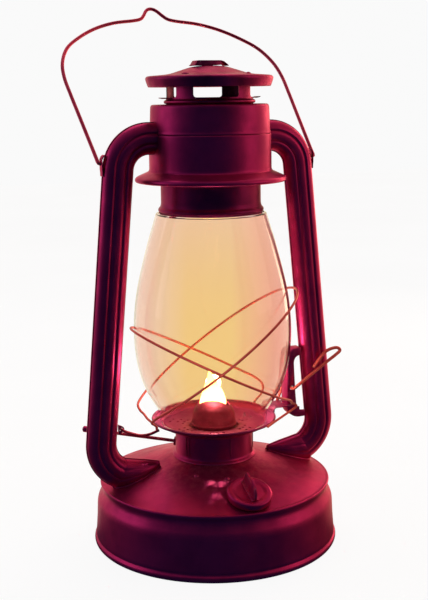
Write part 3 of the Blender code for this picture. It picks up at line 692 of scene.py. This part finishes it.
def tube_half(name, hand, side, count=40):
    """A pressed half of a tube with two grooves and a folded seam."""
    rings = []
    for inner_x, inner_z, outer_x, outer_z, depth, sweep, groove in tube_stations():
        start = Vector((inner_x, 0, inner_z))
        end = Vector((outer_x, 0, outer_z))
        along = (end - start).normalized()
        total = 1 - math.cos(math.radians(sweep))
        ring = []
        for i in range(count + 1):
            angle = math.radians(sweep) * i / count
            share = (1 - math.cos(angle)) / total
            reach = depth * math.sin(angle) ** 0.9 - groove_at(share, groove)
            point = start + (end - start) * share
            ring.append(Vector((point.x, side * max(reach, 0.45), point.z)))
        lip = 0.45 * along
        ring = [ring[0] - lip + Vector((0, -0.4 * side, 0)), ring[0] - lip] + ring
        if sweep > 170:
            ring += [ring[-1] + lip, ring[-1] + lip + Vector((0, -0.4 * side, 0))]
        else:
            ring += [ring[-1], ring[-1]]
        rings.append([Vector((hand * p.x, p.y, p.z)) for p in ring])
    return skinned(name, rings)


def foot_bead(name, hand, side):
    """The turned-out edge where a tube's foot is soldered to the tank."""
    points = []
    for _, _, outer_x, _, depth, sweep, _ in tube_stations()[-24:]:
        if sweep > 168:
            continue
        reach = depth * math.sin(math.radians(sweep)) ** 0.9 + 0.5
        radius = math.hypot(outer_x, reach)
        points.append((hand * outer_x, side * max(reach, 0.6), cone_z(radius) + 0.35))
    return wire(name, points, 0.55)


def build_tubes():
    """Both air tubes with the ears that carry the bail."""
    for hand, label in ((1, "right"), (-1, "left")):
        for side, half in ((-1, "front"), (1, "rear")):
            node = "tube_%s_%s" % (label, half)
            fit(tube_half(node + "_skin", hand, side), "frame", PAINT, node)
            fit(foot_bead(node + "_foot_edge", hand, side), "frame", PAINT)
        build_ear(hand, label)


def build_ear(hand, label):
    """A strap on the tube's outer edge with a hole for the bail."""
    pivot_x, pivot_z = BAIL_PIVOT
    face = pivot_x - BAIL_WIRE - 0.3
    outline = [(71.15, 238.9), (71.2, 241.4), (face, 243.1), (face, 249.3), (70.4, 251.1), (69.3, 251.9),
               (68.9, 251.5), (69.8, 250.7), (face - 0.6, 248.9), (face - 0.6, 243.4), (70.6, 241.6),
               (70.6, 238.9)]
    ear = plate("bail_ear_%s_strap" % label, [(hand * x, z) for x, z in outline], 5.0, 0.22)
    cut_out(ear, rod("ear_bore", 1.45, 8, (hand * face, 0, pivot_z), (1, 0, 0)))
    fit(ear, "frame", PAINT, "bail_ear_" + label)


# ---------------------------------------- chamber and hood

def build_chamber():
    """The drum that both tubes run into, with the flange at its foot."""
    lower = [(37.7, 262.6), (38.1, 262.2), (38.25, 252.0), (38.3, 241.2), (38.9, 239.9), (41.5, 238.7),
             (45.6, 236.9), (46.9, 236.1), (47.5, 234.9), (47.2, 233.7), (46.3, 233.2), (45.2, 233.6)]
    fit(turned_sheet("chamber_lower_skin", lower, 0.8), "frame", HOOD_PAINT, "chamber_lower")
    upper = [(27.4, CHAMBER_TOP_Z - 0.1), (35.4, CHAMBER_TOP_Z), (36.5, CHAMBER_TOP_Z - 0.5),
             (36.9, CHAMBER_TOP_Z - 1.8), (37.2, 272.0), (37.5, 264.6), (37.9, 263.6), (37.8, 262.8),
             (37.0, 262.4), (37.0, 259.9)]
    fit(turned_sheet("chamber_upper_skin", upper, 0.9), "frame", HOOD_PAINT, "chamber_upper")


def build_hood():
    """The sprung hood: sleeve, windowed crown, cap, handle and the spring itself."""
    bore = [(25.9, 279.5), (25.9, 246.2), (27.4, 243.1), (30.6, 239.9), (31.4, 238.2), (31.45, 220.0),
            (31.9, 217.9), (33.0, 216.8), (33.3, 216.0), (33.2, 215.2), (32.5, 214.7), (32.3, 212.8)]
    # The chimney wears the darker enamel, painted shade under the chamber's flange.
    fit(turned_sheet("hood_chimney_skin", bore, 0.9), "hood", SHADED_CHIMNEY_PAINT, "hood_chimney")
    build_crown()
    build_cap()
    build_handle()
    build_spring()


def build_crown():
    """The ring of windows under the cap, each with a flap bent out at its sill."""
    crown = [(26.2, 296.9), (26.6, 297.1), (26.75, 296.6), (26.75, 284.6), (27.2, 283.6), (28.2, 283.3),
             (28.5, 282.4), (28.2, 281.5), (27.0, 281.2), (26.7, 280.2), (26.7, 264.0)]
    skin = turned_sheet("hood_crown_skin", crown, 0.5, 0.5)
    for number, (middle, half, rise) in enumerate(WINDOWS, 1):
        turn = rotation("Z", math.radians(middle))
        width = 2 * CROWN_RADIUS * math.sin(math.radians(half))
        centre = turn @ Vector((30.0, 0, WINDOW_Z))
        cut_out(skin, box("window_shape", (20.0, width, 7.6), centre, turn, 1.6))
        flap = [(26.3, 284.5), (28.6, 284.3), (30.6, 284.4 + 0.4 * rise), (31.05, 284.7 + 0.6 * rise),
                (30.4, 284.9 + 0.4 * rise), (28.5, 284.7), (26.3, 284.9)]
        fit(plate("hood_flap_%d" % number, flap, 14.0, 0.15, turn), "hood", HOOD_PAINT)
    fit(skin, "hood", HOOD_PAINT, "hood_crown")


def build_cap():
    """The hood's round top, with the bumps of the tabs that hold it."""
    cap = rounded([(0, 304.1), (7.0, 304.0), (11.5, 303.4), (19.0, 301.1), (24.0, 299.5), (29.0, 298.8),
                   (37.2, 298.2)], 2.0) + rounded([(38.4, 298.0), (39.4, 297.3), (39.6, 296.2),
                                                   (39.0, 294.2), (38.3, 292.2), (37.8, 291.4)], 0.9)
    fit(turned("hood_cap_skin", sheet_loop(cap, 0.7), FINE_RING), "hood", HOOD_PAINT, "hood_cap")
    dome = [(0, 0.95), (0.9, 0.75), (1.7, 0.2), (1.9, -0.5), (0, -0.5)]
    oval = Matrix.Diagonal((0.7, 1.5, 1, 1))
    for quarter in range(4):
        angle = math.radians(36.5 + 90 * quarter)
        turn = placed(on_circle(27.6, angle, 299.0)) @ rotation("Z", angle) @ oval
        fit(turned("hood_tab_bump_%d" % (quarter + 1), dome, 20, turn), "hood", HOOD_PAINT)


def build_handle():
    """The bent strap on the cap, with a skirt at each of its sides."""
    outer = [(-11.8, 304.3), (-10.9, 304.9), (-9.4, 307.1), (-8.6, 307.3), (6.4, 307.3), (8.4, 306.7),
             (10.2, 305.4), (11.6, 304.2)]
    inner = [(11.0, 303.9), (9.6, 305.0), (8.0, 306.1), (6.2, 306.7), (-8.6, 306.7), (-9.1, 306.5),
             (-10.4, 304.5), (-11.2, 303.9)]
    edge = [(-10.0, 304.2), (-8.9, 306.9), (6.3, 306.9), (6.9, 304.6), (3.0, 304.2)]
    pieces = [plate("strap", outer + inner, 8.8, 0.2)]
    for y in (-4.1, 4.1):
        pieces.append(plate("skirt", edge, 0.5, 0.12, placed((0, y, 0))))
    fit(join("hood_handle_strap", pieces), "hood", HOOD_PAINT, "hood_handle")


def build_spring():
    """The coil in the chamber that presses the hood down; the real coil squashes as the hood is lifted, but
    this one is drawn at one length.
    """
    steps = 40 * SPRING_TURNS
    points = []
    for i in range(steps + 1):
        angle = 2 * math.pi * SPRING_TURNS * i / steps
        points.append(on_circle(29.4, angle, 243.4 + 36.1 * i / steps))
    coil = fit(wire("hood_spring_coil", points, 0.6), "frame", STEEL, "hood_spring", slot="spring_steel")
    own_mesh(coil)


# ---------------------------------------- globe and carrier

def build_globe():
    """The glass globe, open at both ends."""
    outer = [(33.6, 213.9), (34.7, 213.5), (35.3, 212.2), (37.3, 205.4), (39.8, 197.5), (42.0, 189.6),
             (44.0, 182.0), (46.3, 172.6), (48.2, 163.5), (49.6, 153.6), (50.4, 143.0), (50.4, 132.0),
             (49.4, 121.0), (47.4, 110.8), (44.4, 101.8), (40.6, 94.4), (37.2, 89.0), (35.2, 84.4),
             (34.5, 80.4), (34.3, 77.9)]
    globe = turned("globe_glass_shell", sheet_loop(smooth(outer, 4), GLASS_THICKNESS), FINE_RING)
    fit(globe, "carrier", GLASS, "globe", slot="clear_glass")
    globe.visible_shadow = False      # so that the flame's light passes it


def build_plate():
    """The perforated plate under the globe, its lift tab and the two guard wires."""
    line = rounded([(38.6, 80.1), (39.6, 80.7), (40.5, 80.2), (40.45, 79.3), (39.6, 78.9), (38.9, 78.8),
                    (33.4, 75.7), (27.0, 74.7), (16.2, 74.6)], 0.7)
    skin = turned("globe_plate_skin", sheet_loop(line, SHEET), 144)
    holes = []
    group = ((20.6, -12), (20.6, 0), (20.6, 12), (24.8, -9), (24.8, 3), (29.4, -4), (29.4, 9))
    for middle in (-47, 13, 73, 138, 193, 253):
        for radius, offset in group:
            centre = on_circle(radius, math.radians(middle + offset), PLATE_BASE_Z)
            holes.append(rod("perforation", 1.0, 6, centre, (0, 0, 1), 12))
    cut_out(skin, join("perforations", holes))
    fit(skin, "carrier", PLATE_PAINT, "globe_plate")

    tab = [(39.7, 79.9), (39.9, 81.6), (40.6, TAB_Z - 0.4), (41.8, TAB_Z), (53.4, TAB_Z),
           (53.4, TAB_Z - 0.55), (41.9, TAB_Z - 0.6), (41.0, TAB_Z - 0.9), (40.5, 81.4), (40.4, 79.6)]
    strip = plate("globe_plate_tab", tab, 15.6, 0.12)
    cut_out(strip, box("tab_slot", (6.0, 9.7, 3.0), (53.2, 0, TAB_MIDDLE_Z)))
    holes = []
    for row in range(4):
        for column in range(7):
            centre = (43.2 + 1.9 * row, -6.3 + 2.1 * column, TAB_MIDDLE_Z)
            holes.append(rod("tab_hole", 0.6, 4, centre, (0, 0, 1), 10))
    cut_out(strip, join("tab_holes", holes))
    fit(strip, "carrier", PLATE_PAINT)

    for node, path in (("guard_wire_a", guard_a_path()), ("guard_wire_b", guard_b_path())):
        # The brighter enamel paints the flame's light on the guard wires.
        fit(wire(node + "_run", path, 0.8), "carrier", FLAME_LIT_GUARD_PAINT, node)


def guard_ring(high_at, middle, rise, radius, degrees):
    """A tilted ring round the globe, highest at the angle high_at; all angles in degrees."""
    points = []
    for angle in map(math.radians, degrees):
        points.append(on_circle(radius, angle, middle + rise * math.cos(angle - math.radians(high_at))))
    return points


def guard_a_path():
    """The guard wire that is highest at the right: rear hook, ring and front hook."""
    rear = [(-38.6, 13.6, 77.4), (-39.6, 18.6, 78.6), (-40.4, 22.6, 80.6), (-42.0, 26.0, 82.8),
            (-41.4, 30.4, 86.6)]
    front = [(-49.0, -19.5, 87.9), (-45.0, -12.0, 83.2), (-42.6, -8.8, 80.6), (-42.2, -7.2, 79.0)]
    ring = guard_ring(-16.4, 121.7, 41.0, 54.5, range(122, -144, -11))
    return smooth(rear + ring + front, 5)


def guard_b_path():
    """The guard wire that is highest at the left; its front end runs on to the plate."""
    rear = [(34.6, 17.2, 76.1), (38.0, 19.0, 77.0), (40.0, 20.3, 79.6), (43.8, 17.0, 86.0),
            (44.8, 18.6, 92.0)]
    front = [(39.0, -33.5, 94.6), (47.0, -20.5, 88.4), (52.8, -13.4, 85.2), (54.0, -12.6, 83.8),
             (52.6, -13.5, 83.0), (45.0, -19.3, 82.4), (37.0, -25.3, 81.8), (29.0, -31.3, 81.2),
             (21.5, -36.9, 80.4)]
    ring = guard_ring(176.0, 115.2, 26.0, 52.5, range(34, 304, 11))
    return smooth(rear + ring + front, 5)


def build_bracket():
    """The C-shaped channel on the right tube: a bent strap between two side walls."""
    inside = rounded([(61.9, 119.9), (57.0, 119.9), (53.9, 118.4), (52.6, 113.0), (52.0, 82.0),
                      (53.2, 77.4), (56.6, 74.9), (60.0, 74.0), (65.4, 74.4)], 2.4, 5)
    outside = rounded([(65.4, 73.6), (60.0, 73.2), (56.2, 74.1), (52.4, 77.0), (51.2, 82.0),
                       (51.8, 113.2), (53.2, 118.9), (56.6, 120.7), (61.9, 120.7)], 2.4, 5)
    pieces = [plate("strap", inside + outside, 8.2, 0.15)]
    outer = rounded([(61.5, 120.5), (57.0, 120.5), (53.6, 118.8), (52.1, 113.2), (51.5, 82.0), (52.6, 77.2),
                     (56.0, 74.3), (59.8, 73.4), (64.6, 73.7)], 2.4, 5)
    inner = rounded([(64.6, 77.9), (60.4, 78.2), (58.3, 80.4), (57.4, 90.0), (56.8, 100.0),
                     (56.2, 112.0), (57.8, 115.2), (61.5, 116.0)], 1.6, 5)
    pivot_x, pivot_z = LEVER_PIVOT
    for y in (-BRACKET_WALL_Y, BRACKET_WALL_Y):
        wall = plate("wall", outer + inner, 0.7, 0.15, placed((0, y, 0)))
        cut_out(wall, rod("bracket_bore", 1.35, 4, (pivot_x, y, pivot_z), (0, 1, 0)))
        pieces.append(wall)
    fit(join("lift_bracket_channel", pieces), "frame", PAINT, "lift_bracket")


def build_lever():
    """The cranked wire: its crank lifts the tab, and its arm ends in a finger loop."""
    low = TAB_Z - 2.0
    pivot_x, pivot_z = LEVER_PIVOT
    crank = smooth([(49.7, 4.9, low), (49.7, 8.2, low), (50.0, 8.8, low + 0.8), (53.9, 7.8, 92.8),
                    (pivot_x, 6.8, pivot_z)], 4)
    arm = smooth([(pivot_x, -6.2, pivot_z), (55.4, -7.6, 94.7), (59.8, -9.8, 98.9), (68.3, -10.2, 104.7),
                  (77.1, -10.5, 110.5), (84.3, -10.6, 115.0), (87.4, -10.7, 117.6), (85.3, -10.7, 119.7),
                  (80.6, -10.6, 119.4), (76.2, -10.4, 117.4), (72.0, -10.3, 113.2),
                  (67.9, -10.2, 107.9)], 6)
    # The brighter enamel paints the flame's light on the lever.
    fit(wire("lift_lever_wire", crank + arm, 1.1), "lever", FLAME_LIT_GUARD_PAINT, "lift_lever")


def build_link():
    """The wire link between the left tube's lug and the plate."""
    x, z = LINK_PIVOT
    outline = [(-65.3, z - 3.2), (-65.3, z + 3.2)] + arc((x, z), 2.0, 60, -60, 12)
    lug = plate("link_lug_plate", outline, 1.2, 0.2)
    cut_out(lug, rod("lug_bore", 1.15, 6, (x, 0, z), (0, 1, 0)))
    fit(lug, "frame", PAINT, "link_lug")
    path = smooth([(x, 2.2, z), (x, 0.0, z), (x + 0.1, -1.8, z), (-61.6, -2.4, 78.6), (-57.4, -2.0, 76.6),
                   (-51.0, -1.2, 74.2), (-44.6, -1.0, 74.1), (-38.4, -1.0, 76.0)], 6)
    fit(wire("plate_link_wire", path, 0.9), "link", WIRE_PAINT, "plate_link")


# ---------------------------------------- bail

def build_bail():
    """The wire bail, drawn upright about its pivots and then leant back."""
    pivot_x, pivot_z = BAIL_PIVOT
    half = [(0.0, 145.2), (2.4, 144.4), (4.6, 141.9), (6.8, 138.2), (10.0, 134.4), (16.0, 132.4),
            (31.0, 129.6), (46.0, 123.2), (59.4, 113.6), (69.0, 103.6), (75.0, 90.0), (76.9, 76.0),
            (76.3, 60.0), (75.2, 42.0), (74.0, 22.0), (73.1, 7.0), (pivot_x, 1.6)]
    mirrored = [(-x, z) for x, z in half[:0:-1]]
    legs = smooth([(x, 0, z) for x, z in mirrored + half], 5)
    end = [(72.6, 0, 0.5), (71.9, 0, 0.0), (70.5, 0, 0.0)]
    points = [Vector((-x, y, z)) for x, y, z in end[::-1]] + legs + [Vector(p) for p in end]
    turn = Matrix.Translation((0, 0, pivot_z)) @ rotation("X", BAIL_LEAN)
    fit(wire("bail_wire", [turn @ p for p in points], BAIL_WIRE, 4), "bail", WIRE_PAINT, "bail")


# ---------------------------------------- burner

def shaft_axis():
    """The wick shaft's direction, from the wick out to the knob."""
    return Vector(on_circle(math.cos(SHAFT_TILT), WICK_TURN, math.sin(SHAFT_TILT)))


def shaft_point(along):
    """A point on the wick shaft's axis, at a distance along it from the wick."""
    aside = Vector((math.sin(WICK_TURN), -math.cos(WICK_TURN), 0)) * SHAFT_ASIDE
    return shaft_axis() * along + aside + Vector((0, 0, SHAFT_Z))


def build_burner():
    """The burner's cup and slotted dome, the wick in its tube, and the gear that raises it."""
    turn = rotation("Z", WICK_TURN)
    body = [(13.0, 78.6), (13.2, 78.4), (13.2, 74.1), (23.7, 73.9), (23.9, 73.6), (23.7, 73.3),
            (13.2, 73.2), (13.2, 66.0), (12.6, 66.0), (12.6, 78.4)]
    fit(turned("burner_body_cup", body, 96), "frame", BRASS, "burner_body", slot="aged_brass")
    dome = rounded([(0, 91.7), (5.0, 91.3), (9.0, 89.7), (12.0, 86.8), (13.6, 83.4), (14.1, 79.0),
                    (14.3, 77.6), (14.9, 77.0), (15.0, 76.4), (14.9, 75.9)], 1.8)
    cone = turned("burner_dome_cone", sheet_loop(dome, SHEET), 96)
    cut_out(cone, box("slot_shape", (22.6, 7.4, 16), (0, 0, 95.3), turn, 2.6))
    fit(cone, "frame", BRASS, "burner_dome", slot="aged_brass")

    tube = box("wick_tube_sleeve", (17.4, 3.2, 50.0), (0, 0, 61.0), turn, 0.3)
    cut_out(tube, box("wick_bore", (16.6, 2.2, 60.0), (0, 0, 61.0), turn))
    fit(tube, "frame", BRASS, "wick_tube", slot="aged_brass")
    strip = box("wick_strip", (15.8, 1.5, 78.5), (0, 0, 48.25), turn, 0.3)
    fit(strip, "wick", COTTON, "wick", slot="wick_cotton")

    axis = shaft_axis()
    spin = turned_towards(axis)
    fit(rod("wick_shaft_rod", 1.1, 98.0, shaft_point(41.0), axis), "wick_raiser", WIRE_PAINT, "wick_shaft",
        slot="spring_steel")
    teeth = []
    for i, angle in enumerate(full_turn(TOOTH_STEPS)):
        teeth.append(on_circle(4.5 if i % 2 else 3.5, angle, 0)[:2])
    for number, along in ((1, -4.6), (2, 4.6)):
        lie = placed(shaft_point(along)) @ spin @ rotation("X", math.pi / 2)
        spur = plate("spur_wheel_%d_teeth" % number, teeth, 1.2, 0.1, lie)
        cut_out(spur, rod("spur_bore", 1.35, 6, shaft_point(along), axis))
        fit(spur, "wick_raiser", BRASS, "spur_wheel_%d" % number, slot="aged_brass")
    bushing = [(1.55, 2.4), (2.8, 2.4), (3.0, 2.2), (3.0, -2.2), (2.8, -2.4), (1.55, -2.4)]
    ring = turned("shaft_bushing_ring", bushing, 32, placed(shaft_point(25.2)) @ spin)
    fit(ring, "frame", BRASS, "shaft_bushing", slot="aged_brass")
    knob = rounded([(1.45, 9.6), (1.8, 9.6), (2.1, 9.1), (2.1, 2.0), (2.6, 1.6), (5.4, 1.4), (5.9, 0.9),
                    (5.9, -0.9), (5.4, -1.4), (1.45, -1.6)], 0.4)
    middle = shaft_point(KNOB_AT)
    pieces = [turned("knob", knob, 48, placed(middle) @ spin)]
    for angle in full_turn(KNOB_RIDGES):
        edge = spin @ Vector(on_circle(5.7, angle, 0))
        pieces.append(rod("ridge", 0.3, 2.2, middle + edge, axis, 8))
    fit(join("wick_knob_wheel", pieces), "wick_raiser", PAINT, "wick_knob")


def build_flame():
    """The flame over the burner: a flat teardrop that leans a little."""
    shape = [(-1.6, 6.0), (0.4, 8.3), (3.2, 8.6), (7.0, 7.7), (10.6, 6.4), (14.2, 4.8), (17.6, 3.1),
             (20.6, 1.6), (22.6, 0.7), (24.0, 0.1)]
    rings = []
    for rise, half in smooth(shape, 5):
        depth = min(half * 0.38, 2.6)
        lean = 0.6 - 0.11 * rise + 0.0085 * rise ** 2
        rings.append([(half * math.cos(angle) + lean, depth * math.sin(angle), WICK_TOP_Z - 0.3 + rise)
                      for angle in full_turn(32)])
    flame = skinned("flame", rings)
    flame.data.transform(rotation("Z", WICK_TURN))
    fit(flame, "frame", FLAME, slot="wick_cotton")


# ---------------------------------------- stage, light and camera

def studio_glow(n, toward, level=1.0, rear_from=0.22, rear_to=0.80):
    """Colour of the studio in a direction: dark at the camera's side, bright behind the lantern."""
    unit = n.vector("NORMALIZE", toward)
    back = n.vector("DOT_PRODUCT", unit, on_circle(1.0, CAMERA_TURN + math.pi / 2, 0))
    side = n.ramp(n.vector("DOT_PRODUCT", unit, on_circle(1.0, CAMERA_TURN, 0)), -0.7, 0.7)
    left, right = (0.27, 0.27, 0.40), (0.46, 0.32, 0.26)
    sides = n.mix(side, tuple(level * value for value in left), tuple(level * value for value in right))
    rear = n.mix(side, (1.05, 1.05, 0.80), (1.25, 1.00, 0.62))
    colour = n.mix(n.ramp(back, -0.74, -0.22), (0.008, 0.05, 0.11), sides)
    return n.mix(n.ramp(back, rear_from, rear_to), colour, rear)


def bright_to_camera(n):
    """One for rays that the camera sees, directly or through the glass, and nought for the others."""
    path = n.add("ShaderNodeLightPath")
    return n.math("MAXIMUM", path.outputs["Is Camera Ray"], path.outputs["Is Transmission Ray"])


def build_stage():
    """A plain pale floor and background, which light the lantern more dimly than they look."""
    floor = new_object("floor", [(-3000, -3000, 0), (3000, -3000, 0), (3000, 3000, 0), (-3000, 3000, 0)],
                       [(0, 1, 2, 3)])
    floor.location.z = -0.2 * MM
    n = MaterialNodes("pale_floor")
    seen = bright_to_camera(n)
    pale = n.mix(n.noise(240.0), (0.90, 0.90, 0.90), (0.93, 0.93, 0.93))
    n.put("Base Color", n.mix(seen, (0.008, 0.008, 0.010), (0.10, 0.10, 0.10)))
    n.put("Emission Color", n.mix(seen, studio_glow(n, n.place, 0.25, 0.0, 0.5), pale))
    n.put("Emission Strength", 1.0)
    n.put("Roughness", 1.0)
    n.put("Specular IOR Level", 0.0)
    floor.data.materials.append(n.material)

    world = bpy.data.worlds.new("studio")
    bpy.context.scene.world = world
    world.use_nodes = True
    w = Nodes(world.node_tree)
    toward = w.add("ShaderNodeTexCoord").outputs["Generated"]
    colour = w.mix(bright_to_camera(w), studio_glow(w, toward), (0.955, 0.955, 0.955))
    w.feed(w.tree.nodes["Background"].inputs["Color"], colour)


def area_light(name, place, target, size, power, colour):
    """A soft rectangular light that points at a target; lengths in metres."""
    light = bpy.data.lights.new(name, "AREA")
    light.shape = "RECTANGLE"
    light.size, light.size_y = size
    light.energy = power
    light.color = colour
    lamp = add_object(name, light)
    lamp.location = place
    lamp.rotation_euler = (Vector(target) - Vector(place)).to_track_quat("-Z", "Y").to_euler()
    lamp.visible_camera = False
    lamp.visible_transmission = False
    return lamp


def around(degrees, distance, height):
    """A place round the lantern; 0 degrees is the camera's side, positive goes to its right."""
    return on_circle(distance, CAMERA_TURN + math.radians(degrees - 90), height)


def build_lights():
    """Soft lights round the lantern, one that lights only its thin wires, and one in the flame."""
    middle = (0, 0, 0.16)
    area_light("left_soft", around(-92, 1.0, 0.45), middle, (0.60, 0.7), 1.2, (1.0, 0.84, 0.92))
    area_light("right_soft", around(82, 1.0, 0.48), middle, (0.60, 0.7), 1.1, (1.0, 0.78, 0.66))
    area_light("right_back", around(140, 0.9, 0.3), middle, (0.25, 0.8), 2.4, (1.0, 0.70, 0.50))
    area_light("overhead", (0.1, 0.45, 1.1), middle, (0.8, 0.5), 1.6, (1.0, 0.88, 0.95))
    fill = area_light("wire_fill", around(-10, 0.8, 0.30), middle, (0.6, 0.6), 3.6, (1.0, 0.72, 0.60))
    wires = bpy.data.collections.new("lit_wires")
    for name in ("guard_wire_a_run", "guard_wire_b_run", "lift_lever_wire"):
        wires.objects.link(bpy.data.objects[name])
    fill.light_linking.receiver_collection = wires
    light = bpy.data.lights.new("flame_lamp", "POINT")
    light.energy = 0.24
    light.color = (0.90, 0.95, 0.75)
    light.shadow_soft_size = 5 * MM
    add_object("flame_lamp", light).location = (0, 0, 0.103)


def build_camera():
    """The photograph's viewing angle and framing."""
    data = bpy.data.cameras.new("camera")
    data.sensor_fit = "VERTICAL"
    data.sensor_height = 36.0
    data.lens = CAMERA_LENS
    camera = add_object("camera", data)
    turn = rotation("Z", CAMERA_TURN) @ rotation("X", CAMERA_TILT) @ rotation("Z", CAMERA_ROLL)
    camera.matrix_world = Matrix.Translation(CAMERA_PLACE) @ turn
    bpy.context.scene.camera = camera


def main():
    for build in (build_tank, build_filler, build_tubes, build_chamber, build_hood, build_globe,
                  build_plate, build_bracket, build_lever, build_link, build_bail, build_burner,
                  build_flame):
        build()
    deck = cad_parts["air_deck"]      # shown as the CAD has it
    deck.data.materials.clear()
    deck.data.materials.append(DULL_PAINT)
    build_stage()
    build_lights()
    build_camera()
    bpy.context.scene.view_settings.view_transform = "Standard"


main()
